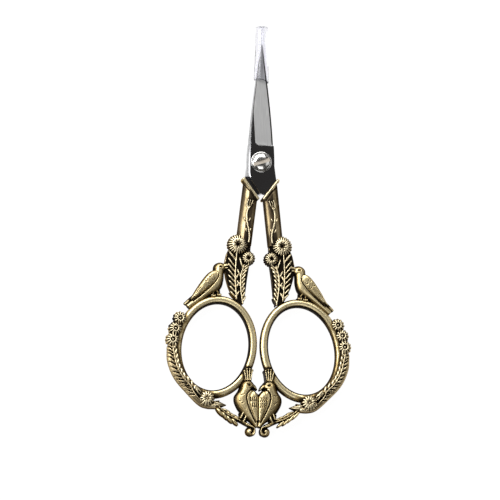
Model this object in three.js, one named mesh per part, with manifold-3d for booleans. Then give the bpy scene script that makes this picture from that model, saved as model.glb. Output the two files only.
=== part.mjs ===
// Embroidery scissors: two steel blades on a slotted pivot screw, each with its tang cast into
// a relief handle of birds, daisies and ferns, and a clear soft tube over the points.
// Millimetres. +Y runs to the points and +Z up through the pivot. The origin is on the pivot
// axis, on the flat back of the rear blade. Each part is shaped about the plane between the
// blades, and the whole is lifted at the end.

import * as THREE from 'three';
import { mergeVertices } from 'three/addons/utils/BufferGeometryUtils.js';
import Module from 'manifold-3d';

const wasm = await Module();
wasm.setup();

// Blades
const BLADE_REACH = 34.45; // pivot to point
const BLADE_WIDTH = 7.3; // across the blade at the pivot
const BLADE_TAPER = 1.5; // power by which the width runs out to the point
const BLADE_THICKNESS = 1.5;
const POINT_THICKNESS = 0.55;
const POINT_CUT = 0.3; // length of the last facet at the point
const EDGE_THICKNESS = 0.15;
const EDGE_OVERLAP = 0.3; // how far a closed edge stands past the other blade's spine
const SPINE_CHAMFER = 0.6;
const BEVEL_START = 4.75; // pivot to the lower end of the ground bevel
const BEVEL_RISE = 0.6; // length of the step at that lower end
const BEVEL_LINE = 1.75; // centreline to the bevel's inner line
const BLADE_GAP = 0.1; // between the two flats
const SHOULDER_DROP = 4; // pivot down to the blade's lower corner

// Tangs
const TANG_WIDTH = 2.4;
const TANG_THICKNESS = 1.1;
const TANG_LENGTH = 10;
const TANG_CLEARANCE = 0.15;

// Pivot screw
const SCREW_DIAMETER = 3;
const SCREW_CLEARANCE = 0.05;
const HEAD_DIAMETER = 5.9;
const HEAD_RIM = 0.35;
const HEAD_DOME = 0.75;
const SLOT_WIDTH = 1.2;
const SLOT_DEPTH = 0.55;
const SLOT_ANGLE = 20; // degrees

// Point guard
const GUARD_LENGTH = 16.15;
const GUARD_COVER = 11.3; // length of the tube that lies over the blades
const GUARD_DIAMETER = 3.6;
const GUARD_BORE = 1.5;
const GUARD_WALL = 0.22; // where the tube is stretched over the blades
const GUARD_CLEARANCE = 0.1;

// Shank and collar
const COLLAR_OUTER_X = 4.74;
const COLLAR_OUTER_DROP = 5.24;
const COLLAR_INNER_X = 0.85;
const COLLAR_INNER_DROP = 10.5;
const COLLAR_WIDTH = 1;
const COLLAR_HEIGHT = 2.15; // from the middle plane, as are all the heights below
const SHANK_END_X = 4.45;
const SHANK_END_DROP = 22.4;
const SHANK_WIDTH = 4.4;
const SHANK_HEIGHT = 1.95;
const SHANK_ROUND = 0.6;

// Finger bow
const BOW_WIDTH = 19; // clear opening, across
const BOW_LENGTH = 25; // clear opening, along
const BOW_TILT = 10.8; // degrees, its top towards the other bow
const BOW_BAR = 2.4;
const BOW_HEIGHT = 1.5;
const BOW_GAP = 0.78; // between the two closed bows
const BOW_DROP = 17.6; // end of the shank to the top of the bar's middle line

// Daisies
const BIG_DAISY = 6.5;
const SMALL_DAISY = 3.9;
const RIM_DAISY = 3.8;
const LOW_DAISY = 4.3;
const DAISY_HEIGHT = 2.15;
const RIM_DAISY_HEIGHT = 2.05;
const PETAL_NOTCH = 0.5; // depth between two petals
const PETAL_ROUND = 0.45;

// Fronds
const LEAF_WIDTH = 1.15;
const LEAF_HEIGHT = 1.75;
const SHORT_LEAF = 1.7;
const LONG_LEAF = 3.1;
const RIM_LEAF = 2.6;
const STEM_WIDTH = 0.8;
const STEM_HEIGHT = 1.6;
const WEB_HEIGHT = 0.8; // of the thin ground behind the leaves
const RIM_WEB_WIDTH = 3.2;
const SPRIG_WEB_WIDTH = 1.6;

// Bird on the bow
const PERCHED_LENGTH = 12; // foot to crown, and about as far again to the tail
const PERCHED_HEIGHT = 2.1;
const LEG_WIDTH = 0.55;

// Crested heart bird
const HEART_WIDTH = 6.2;
const HEART_HEAD = 3.8;
const HEART_HEIGHT = 2.15;
const HEART_GAP = 0.5; // between the two closed heart birds
const CREST_LENGTH = 3.4;
const CREST_KNOB = 0.8;

// Scroll at the lower end
const SCROLL_DIAMETER = 3;
const SCROLL_BAR = 1;
const SCROLL_HEIGHT = 1.7;
const SPRIG_DROP = 9.5; // lower daisy to the scroll's centre

// Facet counts
const ROUND_SIDES = 32;
const BOW_STEPS = 44;
const BAR_SIDES = 8;

const DEGREE = Math.PI / 180;

// A point in the plane of the blades
const at = (x, y) => new THREE.Vector2(x, y);

/** A closed solid from a geometry whose shared corners are merged. */
function solid(geometry) {
  const bare = geometry.clone();
  bare.deleteAttribute('normal');
  bare.deleteAttribute('uv');
  const merged = mergeVertices(bare, 1e-5);
  return new wasm.Manifold(new wasm.Mesh({
    numProp: 3,
    vertProperties: new Float32Array(merged.attributes.position.array),
    triVerts: new Uint32Array(merged.index.array),
  }));
}

/** One solid from several that touch or overlap. */
function join(solids) {
  return solids.reduce((whole, next) => whole.add(next));
}

/** The geometry of a finished solid. */
function geometryOf(body) {
  const mesh = body.getMesh();
  const geometry = new THREE.BufferGeometry();
  geometry.setAttribute('position', new THREE.BufferAttribute(mesh.vertProperties.slice(), 3));
  geometry.setIndex(new THREE.BufferAttribute(mesh.triVerts.slice(), 1));
  geometry.computeVertexNormals();
  return geometry;
}

/** A skin over rings of equally many points, open rows being capped to an apex at each end. */
function loft(rings, { closed = false, start = null, end = null } = {}) {
  const sides = rings[0].length;
  const points = rings.flat();
  const faces = [];
  const spans = closed ? rings.length : rings.length - 1;
  for (let i = 0; i < spans; i += 1) {
    const here = i * sides;
    const there = ((i + 1) % rings.length) * sides;
    for (let k = 0; k < sides; k += 1) {
      const next = (k + 1) % sides;
      faces.push(here + k, here + next, there + k);
      faces.push(here + next, there + next, there + k);
    }
  }
  if (!closed) {
    const last = (rings.length - 1) * sides;
    const low = points.push(start ?? middle(rings[0])) - 1;
    const high = points.push(end ?? middle(rings[rings.length - 1])) - 1;
    for (let k = 0; k < sides; k += 1) {
      const next = (k + 1) % sides;
      faces.push(low, next, k);
      faces.push(high, last + k, last + next);
    }
  }
  const geometry = new THREE.BufferGeometry().setFromPoints(points);
  geometry.setIndex(faces);
  return solid(geometry);
}

/** The mean of a ring of points. */
function middle(ring) {
  const sum = ring.reduce((total, point) => total.add(point), new THREE.Vector3());
  return sum.divideScalar(ring.length);
}

/**
 * A bar of elliptical section in the middle plane, along stations of [x, y, half width, half
 * height]. Its open ends are drawn out by the given length.
 */
function bar(stations, { sides = BAR_SIDES, closed = false, nose = 0 } = {}) {
  const count = stations.length;
  const along = stations.map((station, i) => {
    const before = stations[closed ? (i + count - 1) % count : Math.max(i - 1, 0)];
    const after = stations[closed ? (i + 1) % count : Math.min(i + 1, count - 1)];
    return at(after[0] - before[0], after[1] - before[1]).normalize();
  });
  const rings = stations.map(([x, y, half, high], i) => {
    const ring = [];
    for (let k = 0; k < sides; k += 1) {
      const turn = (k * 2 * Math.PI) / sides;
      const across = half * Math.cos(turn);
      ring.push(new THREE.Vector3(
        x - along[i].y * across,
        y + along[i].x * across,
        high * Math.sin(turn),
      ));
    }
    return ring;
  });
  const tip = (i, reach) => new THREE.Vector3(
    stations[i][0] + along[i].x * reach,
    stations[i][1] + along[i].y * reach,
    0,
  );
  return loft(rings, { closed, start: tip(0, -nose), end: tip(count - 1, nose) });
}

/** A plate with rounded rims, its outline in the middle plane and its faces at plus and minus high. */
function plate(outline, high, round) {
  const geometry = new THREE.ExtrudeGeometry(new THREE.Shape(outline), {
    depth: 2 * (high - round),
    bevelEnabled: round > 0,
    bevelThickness: round,
    bevelSize: round,
    bevelOffset: -round,
    bevelSegments: 1,
  });
  geometry.translate(0, 0, round - high);
  return solid(geometry);
}

/** A plain prism over an outline, between two heights. */
function prism(outline, low, high) {
  const options = { depth: high - low, bevelEnabled: false };
  const geometry = new THREE.ExtrudeGeometry(new THREE.Shape(outline), options);
  geometry.translate(0, 0, low);
  return solid(geometry);
}

/** A pointed leaf from its base to its tip, with a ridge on both faces. */
function leaf(base, tip, width, high) {
  const run = tip.clone().sub(base);
  const geometry = new THREE.OctahedronGeometry(1);
  geometry.scale(run.length() / 2, width / 2, high);
  geometry.rotateZ(run.angle());
  geometry.translate((base.x + tip.x) / 2, (base.y + tip.y) / 2, 0);
  return solid(geometry);
}

/** A rounded bead with its own half length, half width and half height, turned in the plane. */
function bead(place, long, wide, high, turn = 0) {
  const geometry = new THREE.SphereGeometry(1, 10, 6);
  geometry.rotateX(Math.PI / 2);
  geometry.scale(long, wide, high);
  geometry.rotateZ(turn);
  geometry.translate(place.x, place.y, 0);
  return solid(geometry);
}

/** A daisy seen from the front and the back, with notches between its petals. */
function daisy(place, diameter, petals, high) {
  const outline = [];
  for (let k = 0; k < 2 * petals; k += 1) {
    const radius = diameter / 2 - (k % 2) * PETAL_NOTCH;
    const turn = (k * Math.PI) / petals;
    outline.push(at(place.x + radius * Math.cos(turn), place.y + radius * Math.sin(turn)));
  }
  return plate(outline, high, PETAL_ROUND);
}

/**
 * A frond: a stem through its points with leaves in pairs along it. Each row is [side, length,
 * angle], with the angle taken from the stem's own direction.
 */
function frond(points, rows, count) {
  const stem = new THREE.SplineCurve(points);
  const half = STEM_WIDTH / 2;
  const stations = stem.getSpacedPoints(count).map((p) => [p.x, p.y, half, STEM_HEIGHT]);
  const pieces = [bar(stations, { sides: 6, nose: half })];
  for (const [side, length, angle] of rows) {
    for (let k = 0; k < count; k += 1) {
      const u = (k + 0.5) / count;
      const base = stem.getPointAt(u);
      const way = stem.getTangentAt(u).rotateAround(at(0, 0), side * angle * DEGREE);
      const tip = base.clone().addScaledVector(way, length);
      const root = base.clone().addScaledVector(way, -half);
      pieces.push(leaf(root, tip, LEAF_WIDTH, LEAF_HEIGHT));
    }
  }
  return pieces;
}

// Where the parts of a handle lie, worked out from the sizes above
const collarOuter = at(COLLAR_OUTER_X, -COLLAR_OUTER_DROP);
const collarInner = at(COLLAR_INNER_X, -COLLAR_INNER_DROP);
const collarMiddle = collarOuter.clone().add(collarInner).divideScalar(2);
const collarRun = collarInner.clone().sub(collarOuter).normalize();
const collarUp = at(-collarRun.y, collarRun.x);
const shankEnd = at(SHANK_END_X, -SHANK_END_DROP);
const shankRun = shankEnd.clone().sub(collarMiddle).normalize();
const shankAcross = at(-shankRun.y, shankRun.x);

// The bow's middle line, an ellipse tilted about its centre
const bow = (() => {
  const wide = (BOW_WIDTH + BOW_BAR) / 2;
  const long = (BOW_LENGTH + BOW_BAR) / 2;
  const tilt = BOW_TILT * DEGREE;
  const reachX = Math.hypot(wide * Math.cos(tilt), long * Math.sin(tilt));
  const reachY = Math.hypot(long * Math.cos(tilt), wide * Math.sin(tilt));
  const centre = at(BOW_GAP / 2 + BOW_BAR / 2 + reachX, shankEnd.y - BOW_DROP - reachY);
  const point = (angle, out = 0) => {
    const turn = angle * DEGREE;
    const outward = at(long * Math.cos(turn), wide * Math.sin(turn)).setLength(out);
    const place = at(wide * Math.cos(turn), long * Math.sin(turn)).add(outward);
    return place.rotateAround(at(0, 0), tilt).add(centre);
  };
  return { point };
})();

// Ornaments are seated on the shank's end or round the bow, at angles from its outer side
const bigDaisyAt = shankEnd.clone().add(at(0.44 * SHANK_WIDTH, -BIG_DAISY / 4));
const smallDaisyAt = bigDaisyAt.clone().add(at(-0.7 * SHANK_WIDTH, -0.58 * BIG_DAISY));
const rimDaisyAngles = [22.2, 9.6, -3];
const rimDaisyOut = (BOW_BAR + 0.25 * RIM_DAISY) / 2;
const lowDaisyAt = bow.point(-91.5, BOW_BAR / 2);
const scrollAt = at(HEART_GAP / 2 + 0.57 * SCROLL_DIAMETER, lowDaisyAt.y - SPRIG_DROP);
const perchAt = bow.point(78, 0.4 * BOW_BAR);
const heartHeadAt = bow.point(-146, BOW_BAR / 2 + 0.4 * HEART_HEAD);

/** Half width of a blade on its spine or its edge side, at a height above the pivot. */
function bladeHalf(y, side) {
  const taper = 1 - Math.max(y / BLADE_REACH, 0) ** BLADE_TAPER;
  return (taper * (BLADE_WIDTH + side * EDGE_OVERLAP)) / 2;
}

/** One section of a blade, around from the spine over the top to the edge. */
function bladeSection(y) {
  const spine = bladeHalf(y, -1);
  const edge = bladeHalf(y, 1);
  const share = Math.max(y, 0) / BLADE_REACH;
  const thick = THREE.MathUtils.lerp(BLADE_THICKNESS, POINT_THICKNESS, share);
  const chamfer = SPINE_CHAMFER * (spine / bladeHalf(0, -1));
  const ground = THREE.MathUtils.smoothstep(y, BEVEL_START - BEVEL_RISE, BEVEL_START);
  const edgeTop = THREE.MathUtils.lerp(thick, EDGE_THICKNESS, ground);
  const line = Math.max(-BEVEL_LINE, chamfer - spine);
  const low = BLADE_GAP / 2;
  return [
    [-spine, 0],
    [-spine, thick - chamfer * 0.7],
    [chamfer - spine, thick],
    [Math.max(line, chamfer - spine + 0.01), thick],
    [edge, edgeTop],
    [edge, 0],
  ].map(([x, z]) => new THREE.Vector3(x, y, low + z));
}

/** The front blade with its tang, bored for the screw. The rear one is the same, turned over. */
function blade(bore) {
  const heights = [-SHOULDER_DROP / 2, BEVEL_START - BEVEL_RISE, BEVEL_START];
  const left = BLADE_REACH - POINT_CUT - BEVEL_START;
  const steps = 8;
  for (let k = 1; k <= steps; k += 1) {
    heights.push(BEVEL_START + (left * k) / steps);
  }
  const point = new THREE.Vector3(0, BLADE_REACH, (BLADE_GAP + EDGE_THICKNESS) / 2);
  const upper = loft(heights.map(bladeSection), { end: point });

  // Below the pivot the blade runs out along the collar
  const stop = COLLAR_WIDTH / 2 + TANG_CLEARANCE;
  const spine = bladeHalf(0, -1);
  const edge = bladeHalf(0, 1);
  const lower = prism([
    at(-spine, -SHOULDER_DROP / 4),
    at(-spine, -SHOULDER_DROP),
    collarInner.clone().addScaledVector(collarUp, -stop),
    collarOuter.clone().addScaledVector(collarUp, -stop),
    at(edge, -SHOULDER_DROP / 4),
  ], BLADE_GAP / 2, BLADE_GAP / 2 + BLADE_THICKNESS);

  const tang = prism(tangOutline(0), BLADE_GAP / 2, BLADE_GAP / 2 + TANG_THICKNESS);
  const radius = bore / 2 / Math.cos(Math.PI / ROUND_SIDES);
  const hole = new THREE.CylinderGeometry(radius, radius, 4 * BLADE_THICKNESS, ROUND_SIDES);
  hole.rotateX(Math.PI / 2);
  return join([upper, lower, tang]).subtract(solid(hole));
}

/** The tang's outline, or its socket's when room is given. */
function tangOutline(room) {
  const half = TANG_WIDTH / 2 + room;
  const top = collarMiddle.clone().addScaledVector(shankRun, -COLLAR_WIDTH - TANG_WIDTH);
  const end = collarMiddle.clone().addScaledVector(shankRun, TANG_LENGTH + room);
  return [
    top.clone().addScaledVector(shankAcross, -half),
    end.clone().addScaledVector(shankAcross, -half),
    end.clone().addScaledVector(shankAcross, half),
    top.clone().addScaledVector(shankAcross, half),
  ];
}

/** The slotted screw, its tail flush with the back of the rear blade. */
function pivotScrew() {
  const radius = SCREW_DIAMETER / 2;
  const head = HEAD_DIAMETER / 2;
  const tail = -BLADE_GAP / 2 - BLADE_THICKNESS;
  const seat = BLADE_GAP / 2 + BLADE_THICKNESS + SCREW_CLEARANCE;
  const rim = seat + HEAD_RIM;
  const profile = [at(0, tail), at(radius, tail), at(radius, seat), at(head, seat)];
  const steps = 5;
  for (let k = 0; k <= steps; k += 1) {
    const turn = (k / steps) * (Math.PI / 2);
    profile.push(at(k < steps ? head * Math.cos(turn) : 0, rim + HEAD_DOME * Math.sin(turn)));
  }
  const turned = new THREE.LatheGeometry(profile, ROUND_SIDES);
  turned.rotateX(Math.PI / 2);
  const slot = new THREE.BoxGeometry(2 * HEAD_DIAMETER, SLOT_WIDTH, 2 * SLOT_DEPTH);
  slot.rotateZ(SLOT_ANGLE * DEGREE);
  slot.translate(0, 0, rim + HEAD_DOME);
  return solid(turned).subtract(solid(slot));
}

/** The tube over the points, stretched to the blades at its mouth. */
function pointGuard() {
  const mouth = BLADE_REACH - GUARD_COVER;
  const end = mouth + GUARD_LENGTH;
  const [, spineTop, chamferTop] = bladeSection(mouth);
  const boreWide = bladeHalf(mouth, 1) + 2 * GUARD_CLEARANCE;
  const clear = (p) => p.z / Math.sqrt(1 - (p.x / boreWide) ** 2);
  const boreHigh = Math.max(clear(spineTop), clear(chamferTop)) + GUARD_CLEARANCE;
  const bore = GUARD_BORE / 2;
  const free = GUARD_DIAMETER / 2;
  const rounds = { sides: 24 };
  const skin = bar([
    [0, mouth, boreWide + GUARD_WALL, boreHigh + GUARD_WALL],
    [0, BLADE_REACH, free, free],
    [0, end, free, free],
  ], rounds);
  const inside = bar([
    [0, mouth - GUARD_WALL, boreWide, boreHigh],
    [0, mouth, boreWide, boreHigh],
    [0, BLADE_REACH + GUARD_CLEARANCE, bore, bore],
    [0, end + GUARD_WALL, bore, bore],
  ], rounds);
  return skin.subtract(inside);
}

/** The shank and the raised collar at its slanted upper end. */
function shank() {
  const half = SHANK_WIDTH / 2;
  const body = plate([
    collarOuter,
    collarInner,
    shankEnd.clone().addScaledVector(shankAcross, -half),
    shankEnd.clone().addScaledVector(shankRun, half),
    shankEnd.clone().addScaledVector(shankAcross, half),
  ], SHANK_HEIGHT, SHANK_ROUND);
  const rim = COLLAR_WIDTH / 2;
  const collar = bar([
    [collarOuter.x, collarOuter.y, rim, COLLAR_HEIGHT],
    [collarInner.x, collarInner.y, rim, COLLAR_HEIGHT],
  ]);
  return [body, collar];
}

/** The room for the tang inside the shank. */
function tangSocket() {
  return prism(
    tangOutline(TANG_CLEARANCE),
    BLADE_GAP / 2 - TANG_CLEARANCE,
    BLADE_GAP / 2 + TANG_THICKNESS + TANG_CLEARANCE,
  );
}

/** Two upright fronds on a thin web between the shank and the bow, with the two daisies above. */
function fern() {
  const side = (point, share) => point.clone().add(at(share * LEAF_WIDTH, 0));
  const footA = bow.point(116);
  const footB = bow.point(108);
  const topA = smallDaisyAt;
  const topB = bigDaisyAt.clone().add(at(0, -0.65 * BIG_DAISY));
  const bendA = side(topA.clone().lerp(footA, 0.5), -0.25);
  const bendB = side(topB.clone().lerp(footB, 0.6), 0.6);
  const beak = perchAt.clone().add(at(-0.22, 0.68).multiplyScalar(PERCHED_LENGTH));
  const half = SHANK_WIDTH / 2;
  const web = plate([
    side(shankEnd, -half),
    side(topA, -0.8),
    side(bendA, -0.6),
    footA,
    footB,
    side(bendB, 0.8),
    beak,
    bigDaisyAt.clone().add(at(BIG_DAISY / 4, 0)),
    side(shankEnd, half),
  ], WEB_HEIGHT, 0);
  const tilted = topB.clone().add(at(0.75, 0.55).multiplyScalar(LONG_LEAF));
  return [
    web,
    ...frond([footA, bendA, topA], [[1, SHORT_LEAF, 38], [-1, SHORT_LEAF, 38]], 7),
    ...frond([footB, bendB, topB], [[1, SHORT_LEAF, 35], [-1, LONG_LEAF, 42]], 7),
    leaf(topB, tilted, LEAF_WIDTH, LEAF_HEIGHT),
    daisy(bigDaisyAt, BIG_DAISY, 14, DAISY_HEIGHT),
    daisy(smallDaisyAt, SMALL_DAISY, 10, DAISY_HEIGHT),
  ];
}

/** The finger bow. */
function fingerBow() {
  const stations = [];
  for (let k = 0; k < BOW_STEPS; k += 1) {
    const place = bow.point((k * 360) / BOW_STEPS);
    stations.push([place.x, place.y, BOW_BAR / 2, BOW_HEIGHT]);
  }
  return bar(stations, { closed: true });
}

/** Three daisies and a long frond down the outer side of the bow, and the daisy below it. */
function bowRim() {
  const pieces = rimDaisyAngles.map(
    (angle) => daisy(bow.point(angle, rimDaisyOut), RIM_DAISY, 9, RIM_DAISY_HEIGHT),
  );
  const angles = [-90, -78, -66, -54, -42, -30, -18, -6];
  const web = angles.map((angle, k) => {
    const place = bow.point(angle, 0.45 * RIM_WEB_WIDTH);
    const narrow = k === 0 ? 0.3 : 0.5;
    return [place.x, place.y, narrow * RIM_WEB_WIDTH, LEAF_HEIGHT - STEM_WIDTH / 4];
  });
  const stem = angles.map((angle) => bow.point(angle, 0.4 * BOW_BAR));
  pieces.push(bar(web, { nose: STEM_WIDTH }));
  pieces.push(...frond(stem, [[-1, RIM_LEAF, 50], [1, SHORT_LEAF, 28]], 11));
  pieces.push(daisy(lowDaisyAt, LOW_DAISY, 10, RIM_DAISY_HEIGHT));
  return pieces;
}

/** The bird that stands on top of the bow, its tail outwards. */
function perchedBird() {
  const place = (x, y) => perchAt.clone().add(at(x, y).multiplyScalar(PERCHED_LENGTH));
  // Shares of the bird's length, and of its height in the last column
  const spine = [
    [-0.025, 0.66, 0.112, 0.65],
    [0.01, 0.54, 0.13, 0.7],
    [0.05, 0.4, 0.2, 0.95],
    [0.16, 0.245, 0.195, 1],
    [0.3, 0.095, 0.155, 0.85],
    [0.475, -0.065, 0.096, 0.7],
    [0.71, -0.28, 0.07, 0.6],
  ].map(([x, y, half, share]) => {
    const spot = place(x, y);
    return [spot.x, spot.y, half * PERCHED_LENGTH, share * PERCHED_HEIGHT];
  });
  const leg = (fromX, toX) => {
    const hip = place(fromX, 0.17);
    const foot = place(toX, -0.03);
    const half = LEG_WIDTH / 2;
    return bar([[hip.x, hip.y, half, half], [foot.x, foot.y, half, half]], { sides: 6 });
  };
  const beak = leaf(place(-0.05, 0.66), place(-0.25, 0.715), 0.075 * PERCHED_LENGTH, LEG_WIDTH);
  const wingLong = 0.38 * PERCHED_LENGTH;
  const wingWide = 0.11 * PERCHED_LENGTH;
  return [
    bar(spine, { sides: 10, nose: 0.05 * PERCHED_LENGTH }),
    beak,
    bead(place(0.31, 0.25), wingLong, wingWide, PERCHED_HEIGHT, -50 * DEGREE),
    leg(0.09, 0.06),
    leg(0.02, -0.04),
  ];
}

/** The crested bird that makes half of the heart, down to its tail on the scroll. */
function heartBird() {
  const side = HEART_GAP / 2;
  const tail = at(side, scrollAt.y + 0.35 * SCROLL_DIAMETER);
  // Share of the way to the tail, and shares of the width and the height there
  const body = [
    [0.17, 0.94, 0.95],
    [0.38, 1, 1],
    [0.6, 0.8, 0.9],
    [0.8, 0.48, 0.75],
    [0.97, 0.16, 0.6],
  ].map(([u, wide, high]) => {
    const half = (wide * HEART_WIDTH) / 2;
    const y = THREE.MathUtils.lerp(heartHeadAt.y, tail.y, u);
    return [side + half, y, half, high * HEART_HEIGHT];
  });
  const head = Math.min(HEART_HEAD / 2, heartHeadAt.x - side);
  const wingAt = at(side + HEART_WIDTH / 4, THREE.MathUtils.lerp(heartHeadAt.y, tail.y, 0.44));
  const wingLong = 0.36 * (heartHeadAt.y - tail.y);
  const pieces = [
    bar([[heartHeadAt.x, heartHeadAt.y, head, 0.75 * HEART_HEIGHT], ...body], { sides: 10 }),
    bead(heartHeadAt, head, 0.48 * HEART_HEAD, 0.85 * HEART_HEIGHT),
    leaf(heartHeadAt, at(side, heartHeadAt.y - 0.2 * HEART_HEAD), 0.3 * HEART_HEAD, LEG_WIDTH),
    bead(wingAt, wingLong, 0.19 * HEART_WIDTH, 1.1 * HEART_HEIGHT, 82 * DEGREE),
  ];
  const half = CREST_KNOB / 2;
  for (const lean of [-1.5, -0.5, 0.5, 1.5]) {
    const root = heartHeadAt.clone().add(at(0.5 * lean * half, head / 2));
    const rise = 0.4 * HEART_HEAD + CREST_LENGTH - (lean * lean * half) / 4;
    const top = heartHeadAt.clone().add(at((lean - 0.5) * CREST_KNOB * 0.85, rise));
    const ends = [root, top].map((p) => [p.x, p.y, half / 2, BOW_HEIGHT / 2]);
    pieces.push(bar(ends, { sides: 6 }));
    pieces.push(bead(top, half, half, BOW_HEIGHT));
  }
  return pieces;
}

/** The leafy sprig from the lower daisy to the scroll, and the heart bird's legs on it. */
function sprig() {
  const start = scrollAt.clone().add(at(0.2, 0.33).multiplyScalar(SCROLL_DIAMETER));
  const end = lowDaisyAt.clone().add(at(-0.3, -0.3).multiplyScalar(LOW_DAISY));
  const bend = start.clone().lerp(end, 0.55).add(at(0.4, -0.4).multiplyScalar(SPRIG_WEB_WIDTH));
  const points = [start, bend, end];
  const web = new THREE.SplineCurve(points).getSpacedPoints(6);
  const stations = web.map((p) => [p.x, p.y, SPRIG_WEB_WIDTH / 2, STEM_HEIGHT]);
  const pieces = [
    bar(stations, { sides: 6 }),
    ...frond(points, [[1, SHORT_LEAF, 32], [-1, SHORT_LEAF, 32]], 7),
  ];
  for (const drop of [-0.2, -0.42]) {
    const root = lowDaisyAt.clone().add(at(-0.2, drop).multiplyScalar(LOW_DAISY));
    const tip = root.clone().add(at(-LONG_LEAF, drop * LONG_LEAF));
    pieces.push(leaf(root, tip, LEAF_WIDTH, LEAF_HEIGHT));
  }
  // The legs lean from the sprig into the bird's flank
  const half = LEG_WIDTH / 2;
  for (const share of [0.3, 0.5]) {
    const foot = start.clone().lerp(bend, share);
    const hip = at(HEART_GAP / 2 + HEART_WIDTH / 2, foot.y + 0.5 * HEART_WIDTH);
    pieces.push(bar([[hip.x, hip.y, half, half], [foot.x, foot.y, half, half]], { sides: 6 }));
  }
  return pieces;
}

/** The scroll that ends the handle, wound inwards on itself. */
function scroll() {
  const turns = 1.5;
  const steps = 18;
  const stations = [];
  const outer = (SCROLL_DIAMETER - SCROLL_BAR) / 2;
  for (let k = 0; k <= steps; k += 1) {
    const u = k / steps;
    const turn = (60 + 360 * turns * u) * DEGREE;
    const radius = outer * (1 - 0.75 * u);
    const thin = (SCROLL_BAR / 2) * (1 - 0.4 * u);
    stations.push([
      scrollAt.x + radius * Math.cos(turn),
      scrollAt.y + radius * Math.sin(turn),
      thin,
      SCROLL_HEIGHT,
    ]);
  }
  const eye = bead(scrollAt, outer, outer, SCROLL_HEIGHT * 0.8);
  return [bar(stations, { sides: 6, nose: 0.2 }), eye];
}

/** The right handle, one casting from the collar to the scroll. */
function handle() {
  const casting = join([
    ...shank(),
    ...fern(),
    fingerBow(),
    ...bowRim(),
    ...perchedBird(),
    ...heartBird(),
    ...sprig(),
    ...scroll(),
  ]);
  return casting.subtract(tangSocket());
}

const steel = new THREE.MeshStandardMaterial({ color: 0x8d8f92, roughness: 0.22, metalness: 1 });
const chrome = new THREE.MeshStandardMaterial({ color: 0xd8d8d6, roughness: 0.12, metalness: 1 });
const brass = new THREE.MeshStandardMaterial({ color: 0x9a8149, roughness: 0.34, metalness: 1 });
const vinyl = new THREE.MeshStandardMaterial({
  color: 0xf2f4f5,
  roughness: 0.15,
  metalness: 0,
  transparent: true,
  opacity: 0.35,
});

const scissors = new THREE.Group();

/** Adds a named part, turned over about the long axis for the other half. */
function place(name, body, material, turnedOver = false) {
  const mesh = new THREE.Mesh(geometryOf(body), material);
  mesh.name = name;
  mesh.rotation.y = turnedOver ? Math.PI : 0;
  scissors.add(mesh);
}

const bore = SCREW_DIAMETER + 2 * SCREW_CLEARANCE;
const casting = handle();
place('front_blade', blade(bore), steel);
place('rear_blade', blade(bore), steel, true);
place('right_handle', casting, brass);
place('left_handle', casting, brass, true);
place('pivot_screw', pivotScrew(), chrome);
place('tip_guard', pointGuard(), vinyl);

scissors.position.z = BLADE_THICKNESS + BLADE_GAP / 2;

export default scissors;
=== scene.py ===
"""Dresses the embroidery scissors: relief-cast brass handles, ground blades, screw and clear guard.

Shapes are worked out in millimetres about the plane between the blades, on the right half, and
are brought into the frame, in metres, when a piece is finished. The left half is the right one
turned over about the long axis.
"""
import logging
import math
from dataclasses import dataclass, field
from enum import Enum
from typing import Callable, Iterable, Sequence

import bmesh
import bpy
import numpy as np
from bpy.types import Material, Mesh, Object
from mathutils import Matrix, Vector
from mathutils.geometry import tessellate_polygon


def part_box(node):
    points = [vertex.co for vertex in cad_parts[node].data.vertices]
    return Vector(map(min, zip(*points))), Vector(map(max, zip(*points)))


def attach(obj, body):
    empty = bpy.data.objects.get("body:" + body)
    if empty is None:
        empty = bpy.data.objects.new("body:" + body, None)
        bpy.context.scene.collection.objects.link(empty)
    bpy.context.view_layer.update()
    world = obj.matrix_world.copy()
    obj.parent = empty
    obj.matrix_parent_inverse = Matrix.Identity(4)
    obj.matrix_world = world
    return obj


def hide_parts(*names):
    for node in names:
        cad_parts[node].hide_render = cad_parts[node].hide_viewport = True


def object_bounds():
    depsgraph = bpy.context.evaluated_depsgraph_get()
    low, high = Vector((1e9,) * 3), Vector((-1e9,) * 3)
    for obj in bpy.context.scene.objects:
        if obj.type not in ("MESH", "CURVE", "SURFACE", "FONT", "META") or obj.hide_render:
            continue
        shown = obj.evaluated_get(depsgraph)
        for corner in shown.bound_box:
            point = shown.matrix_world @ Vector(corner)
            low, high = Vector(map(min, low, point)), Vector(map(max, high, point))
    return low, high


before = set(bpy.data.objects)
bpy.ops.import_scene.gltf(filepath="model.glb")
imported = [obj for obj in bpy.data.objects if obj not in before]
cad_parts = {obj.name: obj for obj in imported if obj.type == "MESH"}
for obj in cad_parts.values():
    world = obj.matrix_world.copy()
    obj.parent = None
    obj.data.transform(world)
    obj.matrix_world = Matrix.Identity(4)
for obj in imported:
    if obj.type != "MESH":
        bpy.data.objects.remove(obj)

LOG = logging.getLogger("scissors")
CAD_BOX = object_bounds()
MM = 0.001
FULL_TURN = 2 * math.pi

# Numbers laid on vertices: the darkness of a casting's cuts with its painted shade, its patina with painted
# shade, and the guard's cut ends darkened as painted shade
CUTS_AND_SHADE = "cuts_and_shade"
PATINA_AND_SHADE = "patina_and_shade"
CUT_END_SHADE = "cut_end"

Point = tuple[float, float]
Place = tuple[float, float, float]
Line = tuple[Point, ...]
Stations = tuple[tuple[float, ...], ...]
Colour = tuple[float, float, float, float]
Rows = np.ndarray


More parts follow.
